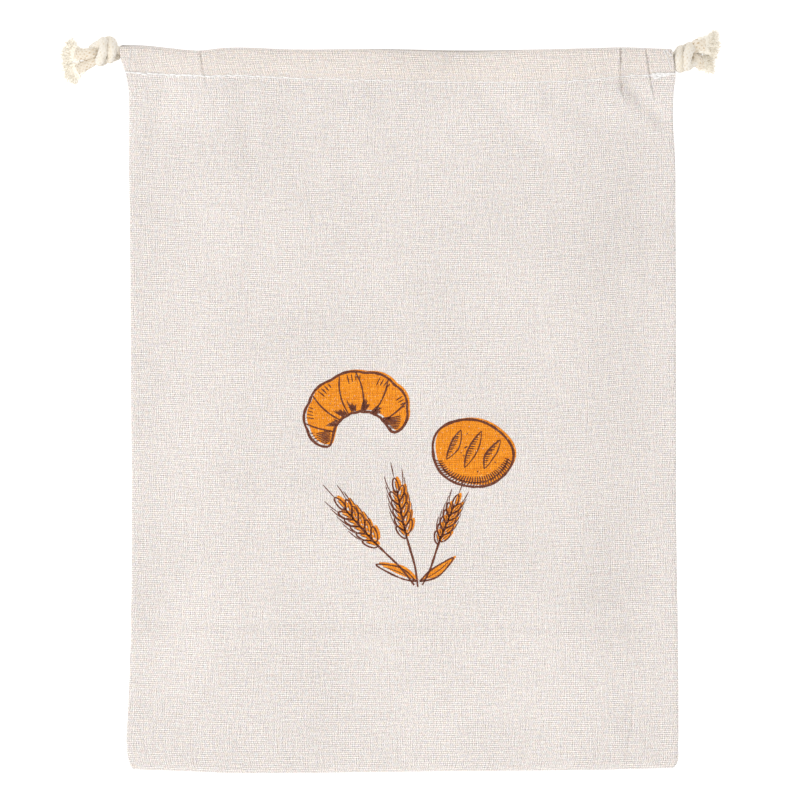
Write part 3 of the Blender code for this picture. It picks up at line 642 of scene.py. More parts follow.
def ply(along, angle):
    """The same for one thick lock of twisted yarns."""
    crown = 0.5 + 0.5 * np.cos(3 * angle + 2.6 * along)
    return crown, 0.88 + 0.16 * crown + 0.05 * np.sin(along * 4.1)


def scatter(rng, spread):
    return np.array([rng.gauss(0, spread) for _ in range(3)])


def hair(rng, start, heading, length, radius, curl, segments, lowest=0.12):
    """Route of one fine fibre that wanders as it goes."""
    point = start
    heading = unit(heading)
    route = [(*point, radius)]
    for k in range(segments):
        heading = unit(heading + scatter(rng, curl))
        point = point + heading * length / segments
        point[2] = max(point[2], lowest)
        route.append((*point, radius * (1.0 - 0.6 * (k + 1) / segments)))
    return np.array(route)


def unravel(fibres, rng, route, locks, length, lock_radius, fan):
    """Wavy locks that fan out from a cord's end, each with a brush of fibres."""
    tangents, _, _ = frames_along(route[:, :3])
    end, radius = route[-1, :3], route[-1, 3]
    heading = atan2(tangents[-1][1], tangents[-1][0])
    sideways = np.array((-sin(heading), cos(heading), 0.0))
    for lock in range(locks):
        share = lock / (locks - 1) - 0.5
        angle = heading + radians(fan) * share + rng.uniform(-0.08, 0.08)
        reach = length * (1.0 - 0.22 * abs(share)) * rng.uniform(0.8, 1.05) + ROOT_BACK
        start = end - tangents[-1] * ROOT_BACK + sideways * share * radius * 1.7
        start[2] += rng.uniform(-0.7, 0.9)
        phase, high = rng.uniform(0, 2 * pi), rng.uniform(-0.3, 1.8)
        count = max(8, round(reach / LOCK_STEP))
        place = start
        points = []
        for k in range(count + 1):
            t = k / count
            turned = heading + (angle - heading) * ease(t * 1.6)
            if k:
                place = place + np.array((cos(turned), sin(turned), 0.0)) * reach / count
            wave = sin(2 * pi * t * reach / LOCK_WAVELENGTH + phase)
            wave = LOCK_WAVE * wave * min(1.0, 3 * t)
            size = lock_radius * (1.0 + 0.25 * (1.0 - t)) * (1.0 - 0.3 * t)
            z = start[2] + (size + 0.25 + high * (1.0 - t) - start[2]) * ease(t * 1.2)
            points.append((place[0] - sin(turned) * wave, place[1] + cos(turned) * wave,
                           max(z + wave * 0.5, size + 0.15), size))
        points = np.array(points)
        fibres.add(points, LOCK_SIDES, ply)
        tip = points[-1, :3] - points[-3, :3]
        for _ in range(LOCK_FIBRES):
            near = points[rng.randrange(len(points) // 2, len(points))]
            start = near[:3] + scatter(rng, LOCK_SCATTER) * near[3]
            aim = tip + scatter(rng, LOCK_SCATTER) * np.linalg.norm(tip)
            fibres.add(hair(rng, start, aim, rng.uniform(1.6, 3.8), rng.uniform(0.07, 0.16), 0.24, 5), 4,
                       value=rng.random())


def fuzz(fibres, rng, route):
    """Short fine fibres that stand off a cord's skin."""
    tangents, first, second = frames_along(route[:, :3])
    for _ in range(FUZZ_FIBRES):
        k = rng.randrange(8, len(route) - 1)
        angle = rng.uniform(0, 2 * pi)
        normal = first[k] * cos(angle) + second[k] * sin(angle)
        start = route[k, :3] + normal * route[k, 3] * 0.97
        aim = normal * rng.uniform(0.15, 0.8) + tangents[k] * rng.choice((-1, 1)) * rng.uniform(0.3, 1.0)
        fibres.add(hair(rng, start, aim, rng.uniform(0.8, 2.0), rng.uniform(0.03, 0.06), 0.35, 3), 3,
                   value=rng.random())


def build_cord(label, side, seed, lane, mirror, outward, upward, *ends):
    rng = random.Random(seed)
    run = casing_run(side, lane)
    cord, fibres = TubeSet(), TubeSet()
    for knot, start, (tail, *fray) in zip((KNOT_FRONT, KNOT_BACK), (run[0], run[-1]), ends):
        own = knot_route(side, lane, mirror, outward, upward, knot, tail)
        route = smooth_route([start, *own], CORD_STEP)
        cord.add(route, CORD_SIDES, braid, from_end=True)
        unravel(fibres, rng, route, *fray)
        fuzz(fibres, rng, route)
    cord.add(smooth_route(run, RUN_STEP), RUN_SIDES, from_end=True)
    return cord.build(f"drawcord_{label}_braid"), fibres.build(f"drawcord_{label}_fibres")


# ---- sewing ----
STITCH = 2.9              # length of one stitch
TACK_STITCH = 2.3
HEM_STITCH = 2.4
STITCH_GAP = 0.3
LINE_ENDS = (-154.0, 151.0)
BACK_LINE_ENDS = (-151.0, 147.0)
THREAD = 0.24             # radius
THREAD_SIDES = 8
# Size of the thread at each x along the line of stitches, and elsewhere.
STITCH_BOLD = ((-154, 2.5), (-112, 2.2), (-80, 1.8), (-50, 1.3), (50, 1.1), (90, 1.4), (151, 1.5))
TACK_BOLD = ((0, 1.85),)
HEM_BOLD = ((0, 1.4),)
# A stitch along its length: height over the cloth and size of the thread.
STITCH_SHAPE = ((0.0, -0.22, 0.8), (0.1, 0.02, 1.0), (0.3, 0.14, 1.05), (0.5, 0.17, 1.08),
                (0.7, 0.14, 1.05), (0.9, 0.02, 1.0), (1.0, -0.22, 0.8))
BACK_SHAPE = ((0.0, 0.25), (0.12, 0.02), (0.5, -0.03), (0.88, 0.02), (1.0, 0.25))
# Runs of the back-tack: distance from the line, slope, x at each end.
BACK_TACK = ((0.45, 0, 137.4, 150.8), (-0.15, 0.02, 137.2, 150.6), (-0.75, 0.05, 137.4, 150.2),
             (-1.3, 0.07, 137.8, 147.4), (-1.85, 0.10, 138.2, 145), (-2.35, 0.16, 138.6, 142.8))
# Narrow hems at the casing's ends.
END_HEMS = (((143.8, 198.9), (145.6, 195.5), (147.6, 190), (148.6, 187.2)),
            ((144.9, 199.2), (147.2, 197), (148.6, 195), (148.9, 193.4)),
            ((-150.6, 199.6), (-151.4, 195), (-151.6, 191), (-151.2, 187.4)))


def stitch_run(tubes, rng, tree, route, bold, lift=0.0, wobble=0.2, length=STITCH, shade=None):
    """Lockstitches along a route of (x, y) points on the front of the bag; bold is their size at each x."""
    route = np.array(route, float)
    along = lengths_along(route)
    at = 0.2
    while at + length < along[-1]:
        own = length * rng.uniform(0.9, 1.1)
        sway = rng.gauss(0, wobble), rng.gauss(0, wobble)
        thick = np.interp(np.interp(at, along, route[:, 0]), *zip(*bold))
        points = []
        for t, rise, size in STITCH_SHAPE:
            s = at + own * t
            k = min(np.searchsorted(along, s), len(route) - 1)
            ahead = unit(route[k] - route[k - 1])
            shift = sway[0] + (sway[1] - sway[0]) * t
            x = np.interp(s, along, route[:, 0]) - ahead[1] * shift
            y = np.interp(s, along, route[:, 1]) + ahead[0] * shift
            points.append((x, y, height_at(tree, x, y) + rise + lift, THREAD * (size * thick)))
        tone = rng.uniform(0.3, 1.0)
        tubes.add(np.array(points), THREAD_SIDES, value=tone if shade is None else shade)
        at += own + STITCH_GAP * rng.uniform(0.6, 1.5)


def build_stitches(tree):
    rng = random.Random(7)
    front = TubeSet()
    line = [(x, stitch_y(x)) for x in np.arange(*LINE_ENDS, 1.0)]
    stitch_run(front, rng, tree, line, STITCH_BOLD)
    for shift, slope, x0, x1 in BACK_TACK:
        tack = [(x, stitch_y(x) + shift + (x - x0) * slope) for x in np.arange(x0, x1, 0.8)]
        stitch_run(front, rng, tree, tack, TACK_BOLD, lift=0.15, length=TACK_STITCH)
    for hem in END_HEMS:
        fine = smooth_route([(x, y, 0.0, 0.0) for x, y in hem], 0.8)[:, :2]
        stitch_run(front, rng, tree, fine, HEM_BOLD, length=HEM_STITCH, wobble=0.06, shade=0.0)
    return front.build("hem_stitches", "shade")


def build_back_stitches():
    rng = random.Random(11)
    tubes = TubeSet()
    at, stop = BACK_LINE_ENDS
    while at < stop:
        own = STITCH * rng.uniform(0.92, 1.08)
        points = [(at + own * t, stitch_y(at + own * t), BACK_WALL - SHEET / 2 + drop, THREAD * 0.7)
                  for t, drop in BACK_SHAPE]
        tubes.add(np.array(points), THREAD_SIDES, value=rng.random())
        at += own + STITCH_GAP
    return tubes.build("back_stitches", "shade")


# ---- print ----
INK_LIFT = 0.03
FILL_TOP = 0.08
LINE_TOP = 0.12
LINE_FLAT = 0.92          # share of a line's width that is level on top
LINE_WIDTH = 1.45
HATCH_WIDTH = 0.78
FILL_SHIFT = (1.5, 1.1)   # the orange is printed a little off the brown lines
FILL_CELL = 5.0           # an area is cut into squares of this size, so it follows the cloth


class Print:
    """Ink laid on the front wall: orange areas and brown lines."""

    def __init__(self, tree, wall_run):
        self.tree = tree
        self.wall_run = wall_run
        self.rng = random.Random(23)
        self.fills, self.lines = [], []
        self.pen = (0.0, 0.0), 0.0, 1.0

    def flat(self, x, y):
        """Flat coordinates of the cloth under a point."""
        share = (x - edge_x(y, -1)) / (edge_x(y, 1) - edge_x(y, -1))
        nominal = nominal_x(share)
        foot = wall_foot(bottom_y(nominal))
        t = (y - foot) / (stitch_y(nominal) - foot)
        return share * 2 * HALF_WIDTH, self.wall_run[0] + t * (self.wall_run[1] - self.wall_run[0])

    def place(self, points):
        """A motif's own points on the bag."""
        centre, turn, size = self.pen
        angle = radians(turn)
        c, s = cos(angle) * size, sin(angle) * size
        return [(centre[0] + x * c - y * s, centre[1] + x * s + y * c) for x, y in points]

    def line(self, points, width=HATCH_WIDTH, taper=0.5, step=1.1):
        self.stroke(self.place(points), width, taper, step=step)

    def stroke(self, points, width=LINE_WIDTH, taper=0.0, closed=False, step=1.1):
        """A brown line of uneven width through placed points."""
        points = [(x, y, 0.0, 0.0) for x, y in points]
        if closed:
            points = points[-1:] + points + points[:2]
        route = smooth_route(points, step)[:, :2]
        if closed:
            start = np.argmin(np.linalg.norm(route - points[1][:2], axis=1))
            stop = len(route) - np.argmin(np.linalg.norm(route[::-1] - points[-2][:2], axis=1))
            route = route[start:stop]
        share = np.linspace(0, 1, len(route))
        seed = self.rng.random() * 50
        uneven = np.array([noise.noise((seed, k * 0.35, 0.0)) for k in range(len(route))])
        half = width / 2 * (1.0 + 0.38 * uneven) * (1.0 - taper * np.abs(share * 2 - 1) ** 2.5)
        self.lines.append((route, np.maximum(half, 0.12)))

    def dot(self, point, size):
        (x, y), = self.place([point])
        turn = self.rng.uniform(0, pi)
        dx, dy = cos(turn) * size * 0.6, sin(turn) * size * 0.6
        self.stroke([(x - dx, y - dy), (x, y), (x + dx, y + dy)], size, 0.35, step=0.5)

    def fill(self, outline):
        self.fills.append([(x + FILL_SHIFT[0], y + FILL_SHIFT[1]) for x, y in outline])

    def build_fills(self):
        bm = bmesh.new()
        flat = bm.loops.layers.uv.new("flat")
        for outline in self.fills:
            part = bmesh.new()
            face = part.faces.new([part.verts.new((x, y, 0.0)) for x, y in outline])
            bmesh.ops.triangulate(part, faces=[face])
            for axis, normal in enumerate((Vector((1.0, 0.0, 0.0)), Vector((0.0, 1.0, 0.0)))):
                low, high = (pick(point[axis] for point in outline) for pick in (min, max))
                for at in np.arange(ceil(low / FILL_CELL) * FILL_CELL, high, FILL_CELL):
                    bmesh.ops.bisect_plane(part, geom=part.verts[:] + part.edges[:] + part.faces[:],
                                           dist=1e-4, plane_co=normal * float(at), plane_no=normal)
            part.normal_update()
            lifted = bmesh.ops.extrude_face_region(part, geom=part.faces[:])
            raised = {made for made in lifted["geom"] if isinstance(made, bmesh.types.BMVert)}
            copies = {}
            for vert in part.verts:
                x, y, _ = vert.co
                lift = FILL_TOP if vert in raised else INK_LIFT
                copies[vert] = bm.verts.new((x, y, height_at(self.tree, x, y) + lift))
            for face in part.faces:
                made = bm.faces.new([copies[vert] for vert in face.verts])
                for loop, vert in zip(made.loops, face.verts):
                    loop[flat].uv = [value * MM for value in self.flat(*vert.co[:2])]
            part.free()
        bmesh.ops.recalc_face_normals(bm, faces=bm.faces)
        for vert in bm.verts:
            vert.co *= MM
        mesh = bpy.data.meshes.new("print_areas")
        bm.to_mesh(mesh)
        bm.free()
        mesh.validate()
        return link("print_areas", mesh)

    def build_lines(self):
        points, faces, flats = [], [], []
        section = ((1.0, INK_LIFT), (LINE_FLAT, LINE_TOP), (-LINE_FLAT, LINE_TOP), (-1.0, INK_LIFT))
        for route, half in self.lines:
            run = unit(np.gradient(route, axis=0))
            faces += ring_faces(len(points) + np.arange(4 * len(route)).reshape(-1, 4))
            for (x, y), (dx, dy), wide in zip(route, run, half):
                for reach, lift in section:
                    px, py = x - dy * wide * reach, y + dx * wide * reach
                    points.append((px, py, height_at(self.tree, px, py) + lift))
                    flats.append(self.flat(px, py))
        return make_object("print_lines", points, faces, uv=flats)

    # -- motifs --
    def croissant(self, *pen):
        self.pen = pen

        def spot(t, out):
            angle = radians(208 - 236 * t)
            swell = 9.6 * max(sin(pi * t), 0.0) ** 0.62 + 0.7
            lobe = 1.0 + 0.10 * abs(sin(7 * pi * t)) * (1.0 if out > 0 else 0.4)
            reach = 17.0 + out * swell * lobe
            return cos(angle) * reach * 1.16, sin(angle) * reach

        outline = self.place([spot(t, 1.0) for t in np.linspace(0.0, 1.0, 43)]
                             + [spot(t, -1.0) for t in np.linspace(1.0, 0.0, 29)])
        self.fill(outline)
        self.stroke(outline, closed=True)
        for k in range(1, 7):
            t = k / 7
            bow = 0.016 * (1 if k < 3.5 else -1)
            self.line([spot(t + bow * 2.4, 0.98), spot(t + bow * 0.8, 0.4), spot(t - bow, -0.3),
                       spot(t - bow * 3, -0.96)], 1.0, 0.3)
            for n in range(7):
                s = t + 0.012 + 0.011 * n
                top = -0.35 - 0.05 * n + self.rng.uniform(-0.1, 0.1)
                self.line([spot(s, -0.92), spot(s + 0.006, (top - 0.92) / 2), spot(s + 0.010, top)])
            for n in range(4):
                s = t - 0.02 - 0.018 * n
                self.line([spot(s, 0.86), spot(s, 0.62 - 0.06 * n)])
        for t, way in ((0.03, 1), (0.97, -1)):
            for n in range(8):
                s = t + way * 0.012 * n
                self.line([spot(s, -0.7), spot(s, 0.5)], taper=0.4)

    def bun(self, *pen):
        self.pen = pen
        scores = (-9.5, 0.0, 9.5)

        def spot(angle, reach):
            wave = 1.0 + 0.018 * sin(3 * angle + 0.6) + 0.012 * sin(5 * angle)
            return cos(angle) * 21.5 * reach * wave, sin(angle) * 17.5 * reach * wave

        outline = self.place([spot(a, 1.0) for a in np.linspace(0, 2 * pi, 48, endpoint=False)])
        self.fill(outline)
        self.stroke(outline, closed=True)
        for shift in scores:
            length = 10.5 if shift == 0 else 8.5
            left, right = [], []
            for t in np.linspace(-1.0, 1.0, 9):
                bulge = 2.4 * (1 - t * t)
                y = 2.0 + t * length
                left.append((shift * (1 + 0.012 * abs(y)) - bulge + t * 2.0, y))
                right.append((shift * (1 + 0.012 * abs(y)) + bulge + t * 2.0, y))
            self.line(left, 1.15)
            self.line(right, 0.8)
            for (x, y), (far, _) in list(zip(left, right))[1:-1]:
                for low in (y, y + 1.2):
                    self.line([(x + 0.2, low), (x + (far - x) * 0.62, low + 0.5)])
        for n in range(34):
            a = radians(-150 + 4.6 * n)
            depth = 0.80 - 0.10 * sin(pi * n / 33)
            self.line([spot(a, 0.97), spot(a + 0.05, (0.97 + depth) / 2), spot(a + 0.07, depth)],
                      HATCH_WIDTH * 1.1, 0.4)
        for n in range(20):
            a = radians(-142 + 7.2 * n)
            self.line([spot(a, 0.90), spot(a + 0.13, 0.86), spot(a + 0.2, 0.9)], taper=0.4)
        for _ in range(16):
            speck = spot(self.rng.uniform(0, 2 * pi), sqrt(self.rng.uniform(0.02, 0.5)))
            if min(abs(speck[0] - shift) for shift in scores) > 3.3:
                self.dot(speck, 0.8)

    def ear(self, *pen):
        self.pen = pen
        self.line([(0.0, 0.0), (0.8, 12.0), (0.0, 24.0), (-0.6, 36.0), (-0.4, 57.0)], 1.2, 0.2)
        for k in range(5):
            self.grain(-0.7, 29.0 + k * 5.0, -30 + k * 1.5)
            self.grain(0.1, 31.3 + k * 5.0, 30 - k * 1.5)
        self.grain(-0.4, 55.5, 0)

    def grain(self, x, y, lean_by):
        """One grain of an ear, with its bristle."""
        angle = radians(lean_by)
        c, s = cos(angle), sin(angle)
        outline = []
        for t in np.linspace(0, 2 * pi, 16, endpoint=False):
            along = 0.5 - 0.5 * cos(t)
            px, py = sin(t) * (1.9 - 0.5 * along), along * 8.6
            outline.append((x + px * c + py * s, y - px * s + py * c))
        outline = self.place(outline)
        self.fill(outline)
        self.stroke(outline, 0.9, closed=True, step=0.8)
        self.line([(x + q * s, y + q * c) for q in (1.6, 4.0, 6.6)], 0.5, 0.6, step=0.8)
        self.line([(x + 8.4 * s, y + 8.4 * c),
                   (x + 13.0 * sin(angle * 0.85), y + 13.2 * cos(angle * 0.85)),
                   (x + 17.5 * sin(angle * 0.7), y + 18.0 * cos(angle * 0.7))], 0.55, 0.6)

    def leaf(self, *pen):
        self.pen = pen
        outline = self.place([(0.0, 0.0), (3.2, 7.0), (3.6, 14.0), (0.4, 24.0), (-1.2, 15.0), (-1.4, 7.0)])
        outline += outline[:1]
        self.fill(smooth_route([(x, y, 0, 0) for x, y in outline], 2.0)[:-1, :2])
        self.stroke(outline, 0.9)
        self.line([(0.2, 1.5), (1.1, 8.0), (1.3, 14.0), (0.6, 20.0)], 0.5)

    def compose(self):
        """Each motif with its place, turn in degrees and size."""
        self.croissant((-25.0, -8.0), 12.0, 1.04)
        self.bun((38.0, -24.0), -14.0, 1.05)
        self.ear((6.0, -97.0), 42.0, 1.02)
        self.ear((8.0, -98.0), 12.0, 0.96)
        self.ear((10.5, -97.0), -22.0, 0.84)
        self.leaf((7.0, -95.0), 68.0, 1.0)
        self.leaf((9.0, -95.0), -54.0, 0.95)


# ---- materials ----
WARP_PITCH = 0.000617     # metres between the yarns that run up the bag
WEFT_PITCH = 0.001112     # metres between the thicker yarns that run across it
YARN_STEP = 3.17          # distance in the noise from one yarn to its neighbour
NEIGHBOUR = 0.5           # how much a yarn is set against its neighbour
GRAIN_SCALE = 1300.0
PATCH_SCALE = 110.0
CLOUD_SCALE = 16.0
# strength of the painted shade in the gaps between the weft yarns
WEFT_GAP_SHADE = 0.145
PAIR_CONTRAST = 0.215
CHECK_CONTRAST = 0.13
GRAIN_CONTRAST = 0.95
WARP_CONTRAST = 0.48
WEFT_CONTRAST = 0.30
CLOUD_CONTRAST = 0.14
HUE_SCALE = 480.0
WARM_CONTRAST = 0.19
PINK_CONTRAST = 0.17
LINEN = (0.630, 0.583, 0.552)
DOUBLED_TINT = (1.006, 0.990, 0.968)
# how much the back casing's top turn is darkened where it shows past the front's: painted shade
MOUTH_SHADE = 0.24
ORANGE = ((0.640, 0.180, 0.003), (0.720, 0.250, 0.012), 0.62)   # ink, thin ink, cover
BROWN = ((0.100, 0.024, 0.010), (0.150, 0.045, 0.024), 0.64)
BARE = (0.72, 0.62, 0.54)
FLOOR_LIFT = 0.75         # the floor glows a little, which keeps the shadows on it faint


class Graph:
    """Short way to write a material's nodes."""

    def __init__(self, name, roughness=0.9, sheen=0.0, specular=0.25):
        self.material = bpy.data.materials.new(name)
        self.material.use_nodes = True
        self.tree = self.material.node_tree
        self.shader = self.tree.nodes["Principled BSDF"].inputs
        for socket, value in (("Roughness", roughness), ("Sheen Weight", sheen), ("Sheen Roughness", 0.55),
                              ("Specular IOR Level", specular)):
            self.shader[socket].default_value = value

    def node(self, kind, *values, **settings):
        """A node with values or links for its first inputs; gives its first output."""
        made = self.tree.nodes.new(kind)
        for key, value in settings.items():
            setattr(made, key, value)
        for socket, value in zip(made.inputs, values):
            self.wire(socket, value)
        return made.outputs[0]

    def wire(self, socket, value):
        if isinstance(value, bpy.types.NodeSocket):
            self.tree.links.new(value, socket)
        elif socket.type == "RGBA":
            socket.default_value = (*value, 1.0)
        else:
            socket.default_value = value

    def math(self, operation, *values, clamp=False):
        return self.node("ShaderNodeMath", *values, operation=operation, use_clamp=clamp)

    def add(self, a, b):
        return self.math("ADD", a, b)

    def sub(self, a, b):
        return self.math("SUBTRACT", a, b)

    def mul(self, a, b):
        return self.math("MULTIPLY", a, b)

    def mad(self, a, b, c):
        """a times b, plus c."""
        return self.math("MULTIPLY_ADD", a, b, c)

    def vector(self, x, y, z=0.0):
        return self.node("ShaderNodeCombineXYZ", x, y, z)

    def noise(self, vector, scale=1.0, detail=1.0, roughness=0.5):
        made = self.tree.nodes.new("ShaderNodeTexNoise")
        for name, value in (("Vector", vector), ("Scale", scale), ("Detail", detail),
                            ("Roughness", roughness)):
            self.wire(made.inputs[name], value)
        return made.outputs["Fac"]

    def mix(self, factor, a, b, blend="MIX"):
        made = self.tree.nodes.new("ShaderNodeMix")
        made.data_type, made.blend_type = "RGBA", blend
        for index, value in ((0, factor), (6, a), (7, b)):
            self.wire(made.inputs[index], value)
        return made.outputs[2]

    def ramp(self, factor, *stops):
        made = self.tree.nodes.new("ShaderNodeValToRGB")
        points = made.color_ramp.elements
        while len(points) < len(stops):
            points.new(0.5)
        for point, (at, colour) in zip(points, stops):
            point.position = at
            point.color = (*colour, 1.0)
        self.wire(made.inputs[0], factor)
        return made.outputs[0]

    def remap(self, value, low, high, to_low, to_high):
        return self.node("ShaderNodeMapRange", value, low, high, to_low, to_high)

    def attribute(self, name):
        made = self.tree.nodes.new("ShaderNodeAttribute")
        made.attribute_name = name
        return made.outputs["Fac"]

    def flat(self):
        """The piece's flat coordinates in metres, as a vector and as two numbers."""
        uv = self.node("ShaderNodeUVMap", uv_map="flat")
        parts = self.tree.nodes.new("ShaderNodeSeparateXYZ")
        self.wire(parts.inputs[0], uv)
        return uv, parts.outputs[0], parts.outputs[1]

    def finish(self, colour, height, strength, distance, roughness=None):
        """Wires the colour, a bump from the height and the roughness; gives the material."""
        self.wire(self.shader["Base Color"], colour)
        if roughness is not None:
            self.wire(self.shader["Roughness"], roughness)
        bump = self.tree.nodes.new("ShaderNodeBump")
        for name, value in (("Strength", strength), ("Distance", distance), ("Height", height)):
            self.wire(bump.inputs[name], value)
        self.wire(self.shader["Normal"], bump.outputs[0])
        return self.material


def weave(g, uv, u, v):
    """Plain weave of uneven yarns: its height, how light each spot is, with painted shade in the gaps
    between the weft yarns, and the tones of both yarns.
    """
    wander_u = g.sub(g.noise(uv, 55.0), 0.5)
    wander_v = g.sub(g.noise(g.vector(g.add(u, 5.0), v), 40.0), 0.5)
    warp = g.mad(wander_u, 1.2, g.math("DIVIDE", u, WARP_PITCH))
    weft = g.mad(wander_v, 0.8, g.math("DIVIDE", v, WEFT_PITCH))
    warp_number, weft_number = g.math("FLOOR", warp), g.math("FLOOR", weft)

    def round_yarn(position):
        side = g.mad(g.math("FRACT", position), 2.0, -1.0)
        return g.math("SQRT", g.math("SUBTRACT", 1.0, g.mul(side, side), clamp=True))

    def wave(position, number):
        return g.math("COSINE", g.mul(g.sub(g.sub(position, 0.5), number), pi))

    warp_over, weft_over = wave(weft, warp_number), wave(warp, weft_number)
    warp_slub = g.noise(g.vector(g.mul(warp_number, 7.31), g.mul(v, 70.0)))
    weft_slub = g.noise(g.vector(g.mul(u, 55.0), g.mul(weft_number, 7.13), 4.0))
    weft_crown = round_yarn(weft)
    warp_height = g.mad(warp_over, 0.5, g.mul(round_yarn(warp), g.mad(warp_slub, 0.5, 0.55)))
    weft_height = g.sub(g.mul(weft_crown, g.mad(weft_slub, 0.6, 0.65)), g.mul(weft_over, 0.5))

    def yarn_tone(number, run, seed):
        """Tone of a yarn along its run, set against that of its neighbour."""
        own = g.noise(g.vector(g.mul(number, YARN_STEP), run, seed), 1.0, 2.0, 0.6)
        beside = g.noise(g.vector(g.mad(number, YARN_STEP, YARN_STEP), run, seed), 1.0, 2.0, 0.6)
        return g.mad(g.sub(beside, 0.5), -NEIGHBOUR, own)

    def patch(x, y, seed, low, high):
        return g.remap(g.noise(g.vector(x, y, seed), PATCH_SCALE), 0.3, 0.7, low, high)

    warp_tone = yarn_tone(warp_number, g.mul(v, 110.0), 9.0)
    weft_tone = yarn_tone(weft_number, g.mul(u, 95.0), 2.0)
    # painted shade: each weft yarn is darker at its edges, in the gaps between the yarns
    weft_gap_shade = g.math("COSINE", g.mul(g.sub(g.math("FRACT", weft), 0.5), 2 * pi))
    pair = g.math("COSINE", g.mul(warp, pi))
    light = g.mad(g.mul(weft_gap_shade, patch(u, g.mul(v, 2.2), 0.3, 0.1, 1.9)), WEFT_GAP_SHADE, 1.0)
    light = g.mad(g.mul(pair, patch(g.mul(u, 2.2), v, 0.6, -1.0, 1.0)), PAIR_CONTRAST, light)
    for value, middle, gain in ((g.mul(warp_over, weft_crown), 0.0, CHECK_CONTRAST),
                                (g.noise(uv, GRAIN_SCALE, 1.0, 0.6), 0.5, GRAIN_CONTRAST),
                                (warp_tone, 0.5, WARP_CONTRAST), (weft_tone, 0.5, WEFT_CONTRAST),
                                (g.noise(uv, CLOUD_SCALE, 2.0), 0.5, CLOUD_CONTRAST)):
        light = g.mad(g.sub(value, middle), gain, light)
    return g.math("MAXIMUM", warp_height, weft_height), light, warp_tone, weft_tone


def linen_material():
    g = Graph("linen", roughness=0.9, sheen=0.12, specular=0.2)
    uv, u, v = g.flat()
    height, light, _, _ = weave(g, uv, u, v)
    warm = g.sub(g.noise(uv, HUE_SCALE), 0.5)
    pink = g.sub(g.noise(g.vector(g.add(u, 3.0), v, 1.0), HUE_SCALE), 0.5)
    doubled = g.attribute("doubled")
    # painted shade on the back casing's top where it shows past the front's
    light = g.mul(light, g.mad(g.attribute("shaded"), -MOUTH_SHADE, 1.0))
    channels = []
    for base, tint, spot, gain in zip(LINEN, DOUBLED_TINT, (warm, pink, warm),
                                      (WARM_CONTRAST, PINK_CONTRAST, -WARM_CONTRAST)):
        tinted = g.mad(spot, gain, g.mad(doubled, tint - 1.0, 1.0))
        channels.append(g.mul(g.mul(tinted, base), light))
    return g.finish(g.vector(*channels), height, 0.5, 0.00020, g.remap(height, 0.2, 1.2, 0.96, 0.80))


def ink_material(name, colour, thin, cover):
    """Ink soaked into the weave: thinner between the yarns and in small worn specks."""
    g = Graph(name, roughness=0.85, sheen=0.05, specular=0.2)
    uv, u, v = g.flat()
    height, light, warp_tone, weft_tone = weave(g, uv, u, v)
    shade = g.mix(g.remap(g.add(warp_tone, weft_tone), 0.75, 1.25, 0.0, 1.0), colour, thin)
    shade = g.mix(g.remap(g.noise(uv, 900.0, 2.0, 0.7), cover, cover + 0.08, 0.0, 0.55), shade, BARE)
    # the weave's lightness, with its painted shade between the weft yarns, also darkens the ink
    shade = g.mix(1.0, shade, g.vector(light, light, light), "MULTIPLY")
    return g.finish(shade, height, 0.5, 0.00018, g.remap(height, 0.2, 1.2, 0.92, 0.76))


def cord_material():
    g = Graph("cotton_cord", roughness=0.92, sheen=0.15, specular=0.15)
    _, along, angle = g.flat()

    def streaks(length, width, seed, detail, roughness=0.5):
        return g.noise(g.vector(g.mul(along, length), g.mul(angle, width), seed), 1.0, detail, roughness)

    fine, tufts = streaks(300.0, 9000.0, 0.0, 3.0, 0.6), streaks(1100.0, 3200.0, 3.0, 2.0)
    yellow = streaks(160.0, 600.0, 8.0, 1.0)
    # the crown attribute darkens the braid's grooves: painted shade; the streak noises are the cotton's own
    # tone
    tone = g.mad(g.attribute("crown"), 0.30, g.mad(fine, 0.45, g.mul(tufts, 0.55)))
    tight = g.ramp(tone, (0.30, (0.300, 0.190, 0.100)), (0.42, (0.600, 0.500, 0.370)),
                   (0.56, (0.715, 0.664, 0.585)), (0.92, (0.782, 0.744, 0.682)))
    # towards the cut end the cord is darker overall, painted shade, and shows brown seed specks
    shaded_specked = g.ramp(tone, (0.34, (0.280, 0.150, 0.060)), (0.46, (0.560, 0.430, 0.280)),
                   (0.58, (0.685, 0.612, 0.508)), (0.92, (0.765, 0.707, 0.624)))
    colour = g.mix(g.remap(along, SHADED_SPECKED_END * MM, (SHADED_SPECKED_END + 5.0) * MM, 1.0, 0.0), tight, shaded_specked)
    colour = g.mix(g.remap(yellow, 0.42, 0.72, 0.0, 0.5), colour, (0.730, 0.640, 0.490))
    return g.finish(colour, g.add(fine, tufts), 0.7, 0.0003, g.remap(fine, 0.3, 0.7, 0.82, 0.97))


def fibre_material():
    g = Graph("cotton_fibres", roughness=0.9, sheen=0.15, specular=0.15)
    _, along, _ = g.flat()
    # on the locks the crown darkens the ply's grooves, painted shade; on the single fibres it is a random
    # tone
    shade = g.attribute("crown")
    colour = g.ramp(shade, (0.0, (0.715, 0.630, 0.500)), (0.30, (0.845, 0.797, 0.700)),
                    (1.0, (0.905, 0.875, 0.805)))
    patch = g.noise(g.vector(g.mul(along, 900.0), g.mul(shade, 40.0)), 1.0, 2.0)
    colour = g.mix(g.remap(patch, 0.35, 0.7, 0.0, 0.3), colour, (0.780, 0.690, 0.540))
    return g.finish(colour, patch, 0.5, 0.0001)


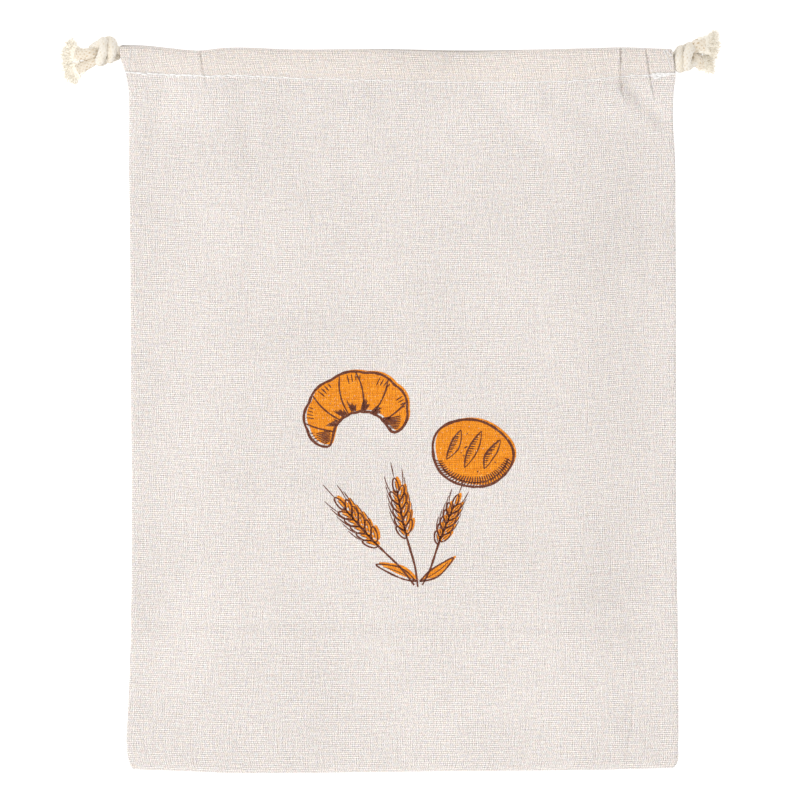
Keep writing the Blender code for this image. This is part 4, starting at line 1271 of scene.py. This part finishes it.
def thread_material():
    g = Graph("thread", roughness=0.7, sheen=0.1, specular=0.35)
    _, along, angle = g.flat()
    twist = g.math("SINE", g.add(g.mul(along, 9000.0), g.mul(angle, 1000.0)))
    colour = g.ramp(g.add(g.mul(twist, 0.25), g.attribute("shade")), (0.0, (0.665, 0.650, 0.635)),
                    (0.3, (0.740, 0.725, 0.710)), (1.0, (0.835, 0.825, 0.815)))
    return g.finish(colour, twist, 0.5, 0.00005)


def floor_material():
    g = Graph("floor", roughness=0.9, specular=0.1)
    spot = g.tree.nodes.new("ShaderNodeTexCoord").outputs["Object"]
    g.wire(g.shader["Base Color"], g.ramp(g.noise(spot, 3.0, 3.0), (0.3, (0.46,) * 3), (0.7, (0.48,) * 3)))
    g.wire(g.shader["Emission Color"], (1.0, 1.0, 1.0))
    g.wire(g.shader["Emission Strength"], FLOOR_LIFT)
    return g.material


# ---- stage ----
VIEW_CENTRE = (-1.88, 5.40)
VIEW_WIDTH = 442.9
VIEW_HEIGHT = 12000.0
SENSOR = 36.0
KEY_PLACE = (-3.6, -2.7, 4.2)   # metres
KEY_SIZE = 2.0
KEY_POWER = 132.0
AMBIENT = 1.09
FLOOR_HALF = 9.0          # metres


def build_stage():
    camera = bpy.data.cameras.new("camera")
    camera.sensor_width = SENSOR
    camera.lens = SENSOR * VIEW_HEIGHT / VIEW_WIDTH
    holder = link("camera", camera)
    holder.location = [value * MM for value in (*VIEW_CENTRE, VIEW_HEIGHT)]
    bpy.context.scene.camera = holder

    light = bpy.data.lights.new("key", "AREA")
    light.size = KEY_SIZE
    light.energy = KEY_POWER
    key = link("key", light)
    key.location = KEY_PLACE
    key.rotation_euler = (-Vector(KEY_PLACE)).to_track_quat("-Z", "Y").to_euler()

    world = bpy.data.worlds.new("world")
    world.use_nodes = True
    background = world.node_tree.nodes["Background"].inputs
    background["Color"].default_value = (1.0, 1.0, 1.0, 1.0)
    background["Strength"].default_value = AMBIENT
    bpy.context.scene.world = world
    bpy.context.scene.view_settings.view_transform = "Standard"

    reach = FLOOR_HALF / MM
    corners = [(x * reach, y * reach, 0) for x, y in ((-1, -1), (1, -1), (1, 1), (-1, 1))]
    floor = make_object("floor", corners, [(0, 1, 2, 3)])
    floor.data.materials.append(floor_material())


def finish_piece(piece, material, slot, *nodes):
    piece.data.materials.append(material)
    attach(piece, "root")
    if nodes:
        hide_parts(*nodes)
    return piece


build_stage()
cloth, tree, wall_run, cut_length = build_cloth()
finish_piece(cloth, linen_material(), "linen", "bag_cloth")
thread = thread_material()
artwork = Print(tree, wall_run)
artwork.compose()
on_cloth = [finish_piece(build_stitches(tree), thread, "thread"),
            finish_piece(build_back_stitches(), thread, "thread"),
            finish_piece(artwork.build_fills(), ink_material("print_orange", *ORANGE), "print_orange"),
            finish_piece(artwork.build_lines(), ink_material("print_brown", *BROWN), "print_brown")]
cotton, fibre = cord_material(), fibre_material()
for spec in DRAWCORDS:
    cord, frayed = build_cord(*spec)
    finish_piece(cord, cotton, "cotton_cord", f"drawcord_{spec[0]}")
    finish_piece(frayed, fibre, "cotton_cord")
